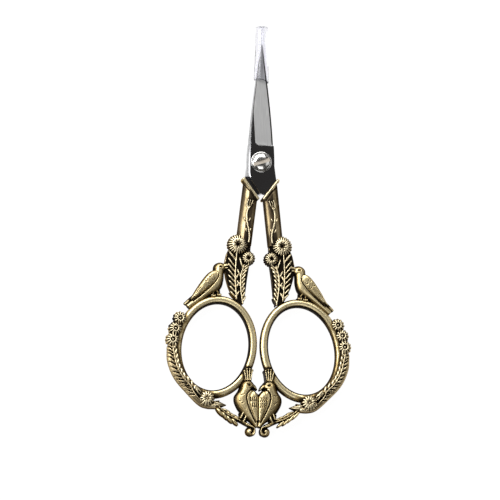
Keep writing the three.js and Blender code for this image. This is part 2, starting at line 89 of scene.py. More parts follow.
class Half(Enum):
    """The two halves of the scissors: side name, body, blade node, and turn about the long axis."""

    RIGHT = ("right", "front_half", "front_blade", 0.0)
    LEFT = ("left", "rear_half", "rear_blade", math.pi)

    @property
    def side(self) -> str:
        """The half's name in its handle pieces."""
        return self.value[0]

    @property
    def body(self) -> str:
        """The body that the half's pieces ride on."""
        return self.value[1]

    @property
    def blade(self) -> str:
        """The half's blade node."""
        return self.value[2]

    @property
    def matrix(self) -> Matrix:
        """The way from millimetres about the plane between the blades to the frame.

        Returns:
            The matrix.
        """
        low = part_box(Half.LEFT.blade)[1][2]
        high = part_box(Half.RIGHT.blade)[0][2]
        lift = Matrix.Translation((0.0, 0.0, (low + high) / 2))
        return lift @ Matrix.Rotation(self.value[3], 4, "Y") @ Matrix.Scale(MM, 4)


class Eye(Enum):
    """What is cut in a daisy's middle."""

    STAR = "star"
    RING = "ring"
    BUDS = "buds"


class Slot(Enum):
    """The record's material slots."""

    STEEL = "blade_steel"
    BRASS = "antique_brass"
    SCREW = "bright_screw"
    VINYL = "clear_vinyl"


# Node trees


class Value:
    """A node's output that takes part in Python arithmetic."""

    def __init__(self, sheet: "NodeSheet", socket: bpy.types.NodeSocket) -> None:
        """Wraps an output of one of the sheet's nodes."""
        self.sheet = sheet
        self.socket = socket

    def _math(self, operation: str, first: "Value | float", second: "Value | float" = 0.0) -> "Value":
        """Adds a Math node and returns its result."""
        return self.sheet.out("ShaderNodeMath", {"operation": operation}, {0: first, 1: second})

    def __add__(self, other: "Value | float") -> "Value":
        """Sum."""
        return self._math("ADD", self, other)

    __radd__ = __add__

    def __sub__(self, other: "Value | float") -> "Value":
        """Difference."""
        return self._math("SUBTRACT", self, other)

    def __rsub__(self, other: float) -> "Value":
        """Difference from a number."""
        return self._math("SUBTRACT", other, self)

    def __mul__(self, other: "Value | float") -> "Value":
        """Product."""
        return self._math("MULTIPLY", self, other)

    __rmul__ = __mul__

    def __truediv__(self, other: "Value | float") -> "Value":
        """Quotient."""
        return self._math("DIVIDE", self, other)

    def __rtruediv__(self, other: float) -> "Value":
        """A number over the value."""
        return self._math("DIVIDE", other, self)

    def __pow__(self, other: "Value | float") -> "Value":
        """Power."""
        return self._math("POWER", self, other)

    def __abs__(self) -> "Value":
        """Size without sign."""
        return self._math("ABSOLUTE", self)

    def clamp(self) -> "Value":
        """The value held between 0 and 1."""
        return self._math("MINIMUM", self._math("MAXIMUM", self, 0.0), 1.0)

    def smooth(self, low: float, high: float) -> "Value":
        """A soft step from 0 at low to 1 at high."""
        inputs = {"Value": self, "From Min": low, "From Max": high}
        return self.sheet.out("ShaderNodeMapRange", {"interpolation_type": "SMOOTHSTEP"}, inputs)


class NodeSheet:
    """A node tree, and the one method that adds nodes to it."""

    def __init__(self, tree: bpy.types.NodeTree) -> None:
        """Takes the tree to fill."""
        self.tree = tree

    def node(self, kind: str, settings: dict | None = None, inputs: dict | None = None) -> bpy.types.Node:
        """Adds a node.

        Args:
            kind: The node's type.
            settings: Its properties, set first; "stops" are a colour ramp's places and colours.
            inputs: Values or links of its sockets, by name or number.

        Returns:
            The node.
        """
        node = self.tree.nodes.new(kind)
        for key, value in (settings or {}).items():
            if key == "stops":
                self._stops(node.color_ramp, value)
            else:
                setattr(node, key, value)
        for key, value in (inputs or {}).items():
            if isinstance(value, Value):
                self.tree.links.new(value.socket, node.inputs[key])
            else:
                node.inputs[key].default_value = value
        return node

    @staticmethod
    def _stops(ramp: bpy.types.ColorRamp, stops: Sequence[tuple[float, Colour]]) -> None:
        """Sets a ramp's stops.

        Args:
            ramp: The ramp.
            stops: Places and colours, in order.
        """
        while len(ramp.elements) < len(stops):
            ramp.elements.new(1.0)
        for element, (place, colour) in zip(ramp.elements, stops):
            element.position = place
            element.color = colour

    def out(self, kind: str, settings: dict | None = None, inputs: dict | None = None,
            output: int | str = 0) -> Value:
        """Adds a node as above, and returns its output of a name or number."""
        return Value(self, self.node(kind, settings, inputs).outputs[output])


class Graph(NodeSheet):
    """The nodes of one material."""

    def __init__(self, name: str) -> None:
        """Starts an empty material.

        Args:
            name: The material's name.
        """
        self.material = bpy.data.materials.new(name)
        self.material.use_nodes = True
        super().__init__(self.material.node_tree)
        self.tree.nodes.clear()

    def laid(self, name: str) -> Value:
        """The numbers laid on the piece's vertices under a name."""
        return self.out("ShaderNodeAttribute", {"attribute_name": name}, None, "Fac")

    def noise(self, scale: float, stretch: Place = (1.0, 1.0, 1.0)) -> Value:
        """Noise on the piece's own coordinates.

        Args:
            scale: Repeats in a metre.
            stretch: Further repeats along each axis.

        Returns:
            A value about 0.5.
        """
        place = self.out("ShaderNodeTexCoord", output="Object")
        spread = self.out("ShaderNodeMapping", None, {"Vector": place, "Scale": stretch})
        inputs = {"Vector": spread, "Scale": scale, "Detail": 3.0, "Roughness": 0.55}
        return self.out("ShaderNodeTexNoise", {"normalize": True}, inputs, "Fac")

    def ramp(self, share: Value, *stops: tuple[float, Colour]) -> Value:
        """The colour that a share picks from stops of places and colours."""
        return self.out("ShaderNodeValToRGB", {"stops": stops}, {"Fac": share})

    def bump(self, height: Value, strength: float, distance: float) -> Value:
        """A normal bumped by a relief, by its share and its depth in metres."""
        inputs = {"Height": height, "Strength": strength, "Distance": distance}
        return self.out("ShaderNodeBump", None, inputs)

    def surface(self, inputs: dict) -> Material:
        """Ends the graph in one shader.

        Args:
            inputs: The shader's sockets.

        Returns:
            The material.
        """
        shader = self.out("ShaderNodeBsdfPrincipled", None, inputs)
        self.node("ShaderNodeOutputMaterial", None, {"Surface": shader})
        return self.material


# Finishes


@dataclass(frozen=True)
class AntiqueBrass:
    """Cast brass, rubbed bright on the high places and left dark in the hollows."""

    name: str = "antique_brass"
    rubbed: Colour = (0.96, 0.82, 0.49, 1.0)
    brass: Colour = (0.57, 0.42, 0.18, 1.0)
    brown: Colour = (0.12, 0.082, 0.036, 1.0)
    black: Colour = (0.012, 0.009, 0.006, 1.0)
    brass_at: float = 0.22
    brown_at: float = 0.44
    black_at: float = 0.7
    cloud: float = 420.0
    cloud_share: float = 0.2
    grain: float = 5200.0
    grain_share: float = 0.05
    crust: float = 0.55
    crust_at: float = 0.5
    rough: float = 0.36
    rough_dark: float = 0.16
    rough_grain: float = 0.06
    sheen: float = 0.15
    sheen_colour: Colour = (0.45, 0.36, 0.25, 1.0)
    bump: Point = (0.1, 0.00003)

    def material(self) -> Material:
        """Makes the finish, led by the patina and painted shade laid on each casting.

        Returns:
            The material.
        """
        graph = Graph(self.name)
        cloud = graph.noise(self.cloud) - 0.5
        grain = graph.noise(self.grain)
        speck = grain - 0.5
        # The laid darkness is patina together with painted shade
        dark = (graph.laid(PATINA_AND_SHADE) + cloud * self.cloud_share + speck * self.grain_share).clamp()
        return graph.surface({
            "Base Color": graph.ramp(dark, (0.0, self.rubbed), (self.brass_at, self.brass),
                                     (self.brown_at, self.brown), (self.black_at, self.black)),
            "Metallic": 1.0 - self.crust * dark.smooth(self.crust_at, 1.0),
            "Roughness": self.rough + self.rough_dark * dark + self.rough_grain * speck,
            "Specular IOR Level": self.sheen,
            "Specular Tint": self.sheen_colour,
            "Normal": graph.bump(grain, *self.bump),
        })


@dataclass(frozen=True)
class PolishedSteel:
    """Blade steel buffed to a mirror, as on the flats."""

    colour: Colour = (0.46, 0.46, 0.475, 1.0)
    haze: float = 160.0
    scratch: float = 900.0
    stretch: Place = (1.0, 14.0, 1.0)
    rough: float = 0.07
    rough_share: float = 0.05
    bump: Point = (0.05, 0.00001)

    def material(self) -> Material:
        """Makes the finish, with faint buffing haze.

        Returns:
            The material.
        """
        graph = Graph("polished_steel")
        haze = graph.noise(self.haze)
        scratch = graph.noise(self.scratch, self.stretch)
        return graph.surface({
            "Base Color": self.colour,
            "Metallic": 1.0,
            "Roughness": self.rough + self.rough_share * haze + self.rough_share * scratch,
            "Normal": graph.bump(scratch, *self.bump),
        })


@dataclass(frozen=True)
class GroundSteel:
    """The satin of the ground bevels, with fine lines along the blade."""

    name: str = "ground_steel"
    light: Colour = (0.74, 0.74, 0.735, 1.0)
    shade: Colour = (0.62, 0.62, 0.62, 1.0)
    lines: float = 500.0
    stretch: Place = (16.0, 0.5, 8.0)
    shade_at: float = 0.3
    light_at: float = 0.7
    rough: float = 0.42
    rough_lines: float = 0.16
    bump: Point = (0.25, 0.00002)

    def material(self) -> Material:
        """Makes the finish.

        Returns:
            The material.
        """
        graph = Graph(self.name)
        lines = graph.noise(self.lines, self.stretch)
        return graph.surface({
            "Base Color": graph.ramp(lines, (self.shade_at, self.shade), (self.light_at, self.light)),
            "Metallic": 1.0,
            "Roughness": self.rough + self.rough_lines * lines,
            "Normal": graph.bump(lines, *self.bump),
        })


@dataclass(frozen=True)
class BrightNickel:
    """The plated screw, lightly scuffed."""

    colour: Colour = (0.95, 0.94, 0.91, 1.0)
    scuff: float = 1500.0
    stretch: Place = (1.0, 5.0, 1.0)
    scuff_from: float = 0.35
    scuff_full: float = 0.8
    rough: float = 0.13
    rough_scuff: float = 0.15
    bump: Point = (0.12, 0.00002)

    def material(self) -> Material:
        """Makes the finish.

        Returns:
            The material.
        """
        graph = Graph("bright_nickel")
        scuff = graph.noise(self.scuff, self.stretch)
        return graph.surface({
            "Base Color": self.colour,
            "Metallic": 1.0,
            "Roughness": self.rough + self.rough_scuff * scuff.smooth(self.scuff_from, self.scuff_full),
            "Normal": graph.bump(scuff, *self.bump),
        })


@dataclass(frozen=True)
class SlotShadeAndGrime:
    """The dark walls of the screw's slot: painted shade, with some grime."""

    colour: Colour = (0.035, 0.033, 0.03, 1.0)
    metal: float = 0.6
    dust: float = 2500.0
    rough: float = 0.45
    rough_dust: float = 0.3

    def material(self) -> Material:
        """Makes the finish.

        Returns:
            The material.
        """
        graph = Graph("slot_shade_and_grime")
        rough = self.rough + self.rough_dust * graph.noise(self.dust)
        return graph.surface({"Base Color": self.colour, "Metallic": self.metal, "Roughness": rough})


@dataclass(frozen=True)
class ClearVinyl:
    """The soft clear tube, its cut ends darkened as painted shade."""

    clear: Colour = (0.9, 0.9, 0.94, 1.0)
    # Painted shade: the dark colour of the cut ends stands in for their refracted edges
    cut: Colour = (0.1, 0.1, 0.11, 1.0)
    cut_from: float = 0.2
    bend: float = 1.45
    ripple: float = 300.0
    stretch: Place = (6.0, 1.0, 6.0)
    coat: float = 0.1
    coat_ripple: float = 0.1
    coat_rough: float = 0.08

    def material(self) -> Material:
        """Makes the finish, faintly rippled by the drawing of the tube.

        Returns:
            The material.
        """
        graph = Graph("clear_vinyl")
        ripple = graph.noise(self.ripple, self.stretch)
        return graph.surface({
            "Base Color": graph.ramp(graph.laid(CUT_END_SHADE), (0.0, self.clear), (self.cut_from, self.clear),
                                     (1.0, self.cut)),
            "Roughness": 0.0,
            "IOR": self.bend,
            "Coat Weight": self.coat + self.coat_ripple * ripple,
            "Coat Roughness": self.coat_rough,
            "Transmission Weight": 1.0,
        })


# Shaping


def spline(points: Sequence[Sequence[float]], steps: int) -> Rows:
    """A smooth row through points of any number of values.

    Args:
        points: The points to pass through.
        steps: Rows made in each span.

    Returns:
        The rows.
    """
    rows = np.asarray(points, float)
    ends = np.vstack([2 * rows[:1] - rows[1:2], rows, 2 * rows[-1:] - rows[-2:-1]])
    share = np.linspace(0.0, 1.0, steps, endpoint=False)[:, None]
    made = []
    for i in range(len(ends) - 3):
        a, b, c, d = ends[i:i + 4]
        bend = 2 * a - 5 * b + 4 * c - d
        turn = 3 * b - 3 * c + d - a
        made.append(0.5 * (2 * b + (c - a) * share + bend * share ** 2 + turn * share ** 3))
    return np.vstack([*made, rows[-1:]])


def turns_round(count: int) -> Rows:
    """Equal steps round a circle, in radians."""
    return np.linspace(0.0, FULL_TURN, count, endpoint=False)


def leftward(path: Rows) -> Rows:
    """Unit directions to the left of a flat path, at each of its points."""
    along = np.gradient(path, axis=0)
    return np.column_stack([-along[:, 1], along[:, 0]]) / np.linalg.norm(along, axis=1)[:, None]


def midway(start: Point, end: Point) -> Point:
    """The place halfway between two places."""
    return (start[0] + end[0]) / 2, (start[1] + end[1]) / 2


def graded(values: Rows, steps: Sequence[Point]) -> Rows:
    """Results read off a broken line through steps of value and result."""
    return np.interp(values, *np.array(steps).T)


def faded(values: Rows, span: float) -> Rows:
    """Values as shares of a span, held between 0 and 1."""
    return np.clip(values / span, 0.0, 1.0)


def raised(stations: Stations, height: float) -> list[tuple[float, ...]]:
    """Stations of x, y, half width and share of a height, with the height worked out."""
    return [(x, y, half, share * height) for x, y, half, share in stations]


class Draft:
    """Closed shells gathered in millimetres."""

    bar_steps = 6
    nose_steps = (0.97, 0.85, 0.6, 0.3)
    bead_sides = 20
    bead_rings = 11
    bead_end = 0.48

    def __init__(self) -> None:
        """Starts with no shell."""
        self.points: list[Rows] = []
        self.faces: list[tuple[int, ...]] = []
        self.size = 0

    def add(self, points: Rows, faces: Iterable[Sequence[int]]) -> None:
        """Adds one shell.

        Args:
            points: Its points.
            faces: Its faces, by number of point.
        """
        self.faces.extend(tuple(self.size + i for i in face) for face in faces)
        self.points.append(np.asarray(points, float))
        self.size += len(points)

    def add_mesh(self, mesh: Mesh, move: Place = (0.0, 0.0, 0.0)) -> None:
        """Adds a mesh's shells.

        Args:
            mesh: The mesh, which is deleted.
            move: How far its points are moved.
        """
        faces = [tuple(polygon.vertices) for polygon in mesh.polygons]
        self.add(places(mesh) + np.asarray(move), faces)
        bpy.data.meshes.remove(mesh)

    def loft(self, rings: Rows, closed: bool = False) -> None:
        """Skins rings of equally many points.

        Args:
            rings: Rows of rings of points.
            closed: Whether the last ring joins the first; otherwise the ends are capped.
        """
        count, sides = rings.shape[:2]
        points = rings.reshape(-1, 3)
        faces = []
        for i in range(count if closed else count - 1):
            here = i * sides
            there = (i + 1) % count * sides
            for k in range(sides):
                after = (k + 1) % sides
                faces.append((here + k, here + after, there + after, there + k))
        if not closed:
            caps = np.stack([rings[0].mean(axis=0), rings[-1].mean(axis=0)])
            points = np.vstack([points, caps])
            first = count * sides
            last = (count - 1) * sides
            for k in range(sides):
                after = (k + 1) % sides
                faces.append((first, after, k))
                faces.append((first + 1, last + k, last + after))
        self.add(points, faces)

    def bar(self, stations: Sequence[Sequence[float]], sides: int = 14, nose: float = 1.0,
            box: float = 2.0) -> None:
        """A rounded bar through stations of x, y, half width, half height and middle height.

        Args:
            stations: The stations, whose last value may be left out for the middle plane.
            sides: Points in a ring.
            nose: Length of each rounded end as a share of the half width there.
            box: Power of the section, 2 for an ellipse and more for a squarer one.
        """
        rows = spline([(*s, 0.0)[:5] for s in stations], self.bar_steps)
        along = np.gradient(rows[:, :2], axis=0)
        along /= np.linalg.norm(along, axis=1)[:, None]
        turns = turns_round(sides)
        across = np.sign(np.cos(turns)) * np.abs(np.cos(turns)) ** (2 / box)
        upward = np.sign(np.sin(turns)) * np.abs(np.sin(turns)) ** (2 / box)
        lead = [(0, -nose * rows[0][2] * r, math.sqrt(1 - r * r)) for r in self.nose_steps]
        tail = [(-1, nose * rows[-1][2] * r, math.sqrt(1 - r * r)) for r in reversed(self.nose_steps)]
        rings = []
        for i, reach, share in (*lead, *((i, 0.0, 1.0) for i in range(len(rows))), *tail):
            x, y, half, high, level = rows[i]
            middle = np.array([x, y]) + along[i] * reach
            flat = middle + np.outer(across * half * share, [-along[i][1], along[i][0]])
            rings.append(np.column_stack([flat, level + upward * high * share]))
        self.loft(np.stack(rings))

    def bead(self, place: Place, radii: Place, turn: float = 0.0) -> None:
        """An egg.

        Args:
            place: Its middle.
            radii: Its three half sizes.
            turn: Degrees that it is turned in the plane.
        """
        x, y, z = place
        long, wide, high = radii
        angle = math.radians(turn)
        lean = np.array([math.cos(angle), math.sin(angle)])
        side = np.array([-lean[1], lean[0]])
        turns = turns_round(self.bead_sides)
        flat = np.outer(np.cos(turns) * long, lean) + np.outer(np.sin(turns) * wide, side)
        rings = []
        for rise in np.linspace(-self.bead_end, self.bead_end, self.bead_rings) * math.pi:
            level = np.full((len(turns), 1), z + high * math.sin(rise))
            rings.append(np.hstack([flat * math.cos(rise) + [x, y], level]))
        self.loft(np.stack(rings))

    def slab(self, outline: Sequence[Point], low: float, high: float) -> None:
        """A flat piece.

        Args:
            outline: The corners round it.
            low: The height of its lower face.
            high: The height of its upper face.
        """
        count = len(outline)
        flat = np.asarray(outline, float)
        points = np.vstack([np.column_stack([flat, np.full(count, z)]) for z in (low, high)])
        fans = tessellate_polygon([[Vector((*p, 0.0)) for p in outline]])
        faces = [tuple(reversed(fan)) for fan in fans] + [tuple(count + i for i in fan) for fan in fans]
        faces += [(i, (i + 1) % count, count + (i + 1) % count, count + i) for i in range(count)]
        self.add(points, faces)

    def both_faces(self) -> None:
        """Repeats every shell on the other face."""
        faces = [tuple(reversed(face)) for face in self.faces]
        self.add(np.vstack(self.points) * [1.0, 1.0, -1.0], faces)

    def mesh(self, name: str) -> Mesh:
        """Makes a mesh of the shells, with every face outwards.

        Args:
            name: The mesh's name.

        Returns:
            The mesh, in millimetres.
        """
        mesh = bpy.data.meshes.new(name)
        mesh.from_pydata(np.vstack(self.points).tolist(), [], self.faces)
        shell = bmesh.new()
        shell.from_mesh(mesh)
        bmesh.ops.recalc_face_normals(shell, faces=shell.faces)
        shell.to_mesh(mesh)
        shell.free()
        return mesh


def rows_of(items: bpy.types.bpy_prop_collection, key: str) -> Rows:
    """Reads three numbers of each of a mesh's items.

    Args:
        items: The items.
        key: What is read.

    Returns:
        Rows of three.
    """
    rows = np.empty(len(items) * 3, np.float32)
    items.foreach_get(key, rows)
    return rows.reshape(-1, 3).astype(float)


def places(mesh: Mesh) -> Rows:
    """A mesh's vertices as rows."""
    return rows_of(mesh.vertices, "co")


def normals(mesh: Mesh) -> Rows:
    """The directions of a mesh's vertices as rows."""
    return rows_of(mesh.vertex_normals, "vector")


def set_places(mesh: Mesh, points: Rows) -> None:
    """Moves a mesh's vertices to rows of places."""
    mesh.vertices.foreach_set("co", points.ravel())
    mesh.update()


def lay_values(mesh: Mesh, name: str, values: Rows) -> None:
    """Writes one number between 0 and 1 at each vertex."""
    layer = mesh.attributes.new(name, "FLOAT", "POINT")
    layer.data.foreach_set("value", np.clip(values, 0.0, 1.0).astype(np.float32))


def placed(name: str, data: bpy.types.ID) -> Object:
    """Puts data into the scene.

    Args:
        name: The new object's name.
        data: A mesh, a light or a camera.

    Returns:
        The object.
    """
    holder = bpy.data.objects.new(name, data)
    bpy.context.scene.collection.objects.link(holder)
    return holder


def finished(mesh: Mesh, modifiers: Sequence[tuple[str, dict]]) -> Mesh:
    """Applies modifiers to a mesh.

    Args:
        mesh: The mesh, which is deleted.
        modifiers: Each modifier's type and settings; "sockets" are a node tree's inputs.

    Returns:
        The new mesh.
    """
    name = mesh.name
    blank = placed(name, mesh)
    for kind, settings in modifiers:
        modifier = blank.modifiers.new(kind, kind)
        for key, value in settings.items():
            if key == "sockets":
                for socket, number in value.items():
                    modifier[socket] = number
            else:
                setattr(modifier, key, value)
    view = bpy.context.evaluated_depsgraph_get()
    made = bpy.data.meshes.new_from_object(blank.evaluated_get(view))
    bpy.data.objects.remove(blank)
    bpy.data.meshes.remove(mesh)
    made.name = name
    return made


def line_mesh(points: Rows, closed: bool = False) -> Mesh:
    """A mesh of edges along a row of points.

    Args:
        points: Rows of x, y, z.
        closed: Whether the last point joins the first.

    Returns:
        The mesh.
    """
    mesh = bpy.data.meshes.new("line")
    count = len(points)
    edges = [(i, (i + 1) % count) for i in range(count if closed else count - 1)]
    mesh.from_pydata(np.asarray(points, float).tolist(), edges, [])
    return mesh


# Geometry node trees


class NodeForm(NodeSheet):
    """A geometry node tree and the plain meshes that it makes. A size that is a whole number is a count."""

    title: str
    sizes: dict[str, float]

    def __init__(self, material: Material) -> None:
        """Makes the tree, with its sizes as inputs.

        Args:
            material: The finish that it ends in.
        """
        super().__init__(bpy.data.node_groups.new(self.title, "GeometryNodeTree"))
        self.material = material
        self.sockets = {}
        face = self.tree.interface
        face.new_socket("Geometry", in_out="INPUT", socket_type="NodeSocketGeometry")
        for key, value in self.sizes.items():
            kind = "NodeSocketInt" if isinstance(value, int) else "NodeSocketFloat"
            self.sockets[key] = face.new_socket(key, in_out="INPUT", socket_type=kind)
        face.new_socket("Geometry", in_out="OUTPUT", socket_type="NodeSocketGeometry")
        self.start = self.tree.nodes.new("NodeGroupInput")
        self.build()

    def build(self) -> None:
        """Lays the nodes between the inputs and the end."""
        raise NotImplementedError

    def given(self, key: str) -> Value:
        """One of the tree's inputs, by name."""
        return Value(self, self.start.outputs[key])

    def axes(self, x: "Value | float", y: "Value | float", z: "Value | float") -> Value:
        """Three numbers as one value along each axis."""
        return self.out("ShaderNodeCombineXYZ", None, {"X": x, "Y": y, "Z": z})

    def facing(self, way: Value, **lean: Value) -> Value:
        """A turn that points X along a direction and then leans.

        Args:
            way: The direction.
            **lean: Radians about the shape's own axes.

        Returns:
            The turn.
        """
        ahead = self.out("FunctionNodeAlignRotationToVector", {"axis": "X"}, {"Vector": way})
        angles = self.out("ShaderNodeCombineXYZ", None, lean)
        turn = self.out("FunctionNodeEulerToRotation", None, {"Euler": angles})
        inputs = {"Rotation": ahead, "Rotate By": turn}
        return self.out("FunctionNodeRotateRotation", {"rotation_space": "LOCAL"}, inputs)

    def end(self, kind: str, inputs: dict) -> None:
        """Ends the tree: its last shape is made, realized and given its finish.

        Args:
            kind: The type of the node that makes the last shape.
            inputs: The node's sockets.
        """
        real = self.out("GeometryNodeRealizeInstances", None, {"Geometry": self.out(kind, None, inputs)})
        coated = self.out("GeometryNodeSetMaterial", None, {"Geometry": real, "Material": self.material})
        self.node("NodeGroupOutput", None, {0: coated})

    def mesh(self, base: Mesh | None = None, **sizes: float) -> Mesh:
        """Makes a plain mesh.

        Args:
            base: The mesh that the tree works on, if it needs one.
            **sizes: The inputs that differ from the tree's own.

        Returns:
            The mesh.
        """
        ground = base or bpy.data.meshes.new(self.tree.name)
        values = {self.sockets[key].identifier: value for key, value in {**self.sizes, **sizes}.items()}
        return finished(ground, [("NODES", {"node_group": self.tree, "sockets": values})])


class PetalRing(NodeForm):
    """Petals round a centre, each an egg that leans down outwards."""

    title = "petal_ring"
    sizes = {"Petals": 12, "Radius": 1.0, "Length": 1.0, "Width": 0.5, "Height": 0.5, "Lean": 0.3}

    def build(self) -> None:
        """Lays the nodes."""
        ring = self.out("GeometryNodeMeshCircle", {"fill_type": "NONE"},
                        {"Vertices": self.given("Petals"), "Radius": self.given("Radius")})
        petal = self.out("GeometryNodeMeshUVSphere", None, {"Segments": 10, "Rings": 6, "Radius": 0.5})
        outwards = self.out("GeometryNodeInputPosition")
        self.end("GeometryNodeInstanceOnPoints", {
            "Points": ring, "Instance": petal, "Rotation": self.facing(outwards, Y=self.given("Lean")),
            "Scale": self.axes(*(self.given(key) for key in ("Length", "Width", "Height"))),
        })


@dataclass(frozen=True)
class Leaves:
    """A row of leaflets: their lean in radians, lengths, number, reach along a stem, sizes and offset."""

    lean: float
    first: float
    last: float
    count: int
    start: float
    end: float
    width: float
    height: float
    off: float = 0.0


class LeafRow(NodeForm):
    """Leaflets along one side of a stem, from the stem's own points."""

    title = "leaf_row"
    sizes = {
        "Leaves": 8, "Start": 0.05, "End": 0.95, "Angle": 0.7, "First": 2.0, "Last": 1.5,
        "Width": 0.6, "Height": 0.6,
    }

    def build(self) -> None:
        """Lays the nodes."""
        stem = self.out("GeometryNodeMeshToCurve", None, {"Mesh": self.given("Geometry")})
        cut = self.out("GeometryNodeTrimCurve", None, {
            "Curve": stem, "Start": self.given("Start"), "End": self.given("End"),
        })
        spots = self.out("GeometryNodeResampleCurve", None, {"Curve": cut, "Count": self.given("Leaves")})
        egg = self.out("GeometryNodeMeshUVSphere", None, {"Segments": 10, "Rings": 7, "Radius": 0.5})
        laid = self.out("GeometryNodeTransform", None, {"Geometry": egg, "Rotation": (0.0, math.pi / 2, 0.0)})
        rooted = self.out("GeometryNodeTransform", None, {"Geometry": laid, "Translation": (0.5, 0.0, 0.0)})
        way = self.out("GeometryNodeInputTangent")
        share = self.out("GeometryNodeSplineParameter", output="Factor")
        first = self.given("First")
        length = first + (self.given("Last") - first) * share
        self.end("GeometryNodeInstanceOnPoints", {
            "Points": spots, "Instance": rooted, "Rotation": self.facing(way, Z=self.given("Angle")),
            "Scale": self.axes(length, self.given("Width"), self.given("Height")),
        })

    def beside(self, path: Rows, level: float, leaves: Leaves) -> Mesh:
        """Leaflets along a flat path.

        Args:
            path: Rows of x and y.
            level: The height at which they sit.
            leaves: The row.

        Returns:
            The leaflets.
        """
        roots = path + leaves.off * leftward(path)
        line = line_mesh(np.column_stack([roots, np.full(len(roots), level)]))
        return self.mesh(line, Angle=leaves.lean, First=leaves.first, Last=leaves.last, Leaves=leaves.count,
                         Start=leaves.start, End=leaves.end, Width=leaves.width, Height=leaves.height)


class RoundBar(NodeForm):
    """A bar of full oval section along a closed line."""

    title = "round_bar"
    sizes = {"Width": 2.4, "Height": 3.0, "Power": 2.5, "Sides": 32}

    def build(self) -> None:
        """Lays the nodes."""
        line = self.out("GeometryNodeMeshToCurve", None, {"Mesh": self.given("Geometry")})
        level = self.out("GeometryNodeSetCurveNormal", {"mode": "Z_UP"}, {"Curve": line})
        circle = self.out("GeometryNodeCurvePrimitiveCircle", {"mode": "RADIUS"},
                          {"Resolution": self.given("Sides"), "Radius": 1.0})
        place = self.out("GeometryNodeInputPosition")
        parts = self.node("ShaderNodeSeparateXYZ", None, {"Vector": place}).outputs
        power = self.given("Power")
        wide, high = (abs(Value(self, parts[axis])) ** power for axis in "XY")
        share = 0.5 / (wide + high) ** (1.0 / power)
        fuller = self.out("ShaderNodeVectorMath", {"operation": "SCALE"}, {"Vector": place, "Scale": share})
        oval = self.out("GeometryNodeSetPosition", None, {"Geometry": circle, "Position": fuller})
        shape = self.axes(self.given("Width"), self.given("Height"), 1.0)
        section = self.out("GeometryNodeTransform", None, {"Geometry": oval, "Scale": shape})
        self.end("GeometryNodeCurveToMesh", {"Curve": level, "Profile Curve": section})


# Pieces


def dressed(name: str, mesh: Mesh, finishes: Sequence[Material], body: str,
            smooth: float | None = None) -> Object:
    """Makes a piece of the object.

    Args:
        name: The piece's name.
        mesh: Its mesh, in the frame.
        finishes: Its materials.
        body: The body that it rides on.
        smooth: The angle in degrees above which an edge stays sharp, or none.

    Returns:
        The piece.
    """
    chosen = np.zeros(len(mesh.polygons), dtype=np.int32)
    mesh.polygons.foreach_get("material_index", chosen)
    mesh.materials.clear()
    for finish in finishes:
        mesh.materials.append(finish)
    mesh.polygons.foreach_set("material_index", chosen)
    mesh.shade_smooth()
    if smooth is not None:
        mesh.set_sharp_from_angle(angle=math.radians(smooth))
    set_places(mesh, np.clip(places(mesh), *CAD_BOX))
    mesh.name = name
    piece = placed(name, mesh)
    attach(piece, body)
    return piece


def carved(mesh: Mesh, cutter: Mesh) -> Mesh:
    """Cuts one mesh from another.

    Args:
        mesh: What is cut, which is deleted.
        cutter: What is taken away, which is deleted.

    Returns:
        The cut mesh.
    """
    tool = placed("cutter", cutter)
    settings = {"operation": "DIFFERENCE", "solver": "EXACT", "object": tool}
    made = finished(mesh, [("BOOLEAN", settings)])
    bpy.data.objects.remove(tool)
    bpy.data.meshes.remove(cutter)
    return made


def joined(first: Mesh, second: Mesh) -> Mesh:
    """Puts two meshes in one.

    Args:
        first: The mesh that takes in the other.
        second: The other, which is deleted.

    Returns:
        The first mesh.
    """
    shell = bmesh.new()
    shell.from_mesh(first)
    shell.from_mesh(second)
    shell.to_mesh(first)
    shell.free()
    bpy.data.meshes.remove(second)
    return first


# The castings


@dataclass(frozen=True)
class Stroke:
    """A cut made in a casting's two faces: its path, half width, depth and darkness."""

    path: Line
    width: float
    depth: float
    tone: float

    def reach(self, points: Rows) -> Rows:
        """How deep the cut is.

        Args:
            points: The places asked about.

        Returns:
            Shares of its depth, from 0 well beside the path to 1 on it.
        """
        cut = np.zeros(len(points))
        for start, end in zip(self.path[:-1], self.path[1:]):
            a = np.asarray(start)
            run = np.asarray(end) - a
            share = np.clip((points[:, :2] - a) @ run / max(run @ run, 1e-9), 0.0, 1.0)
            off = np.linalg.norm(points[:, :2] - a - share[:, None] * run, axis=1)
            cut = np.maximum(cut, np.exp(-(off / self.width) ** 2))
        return cut


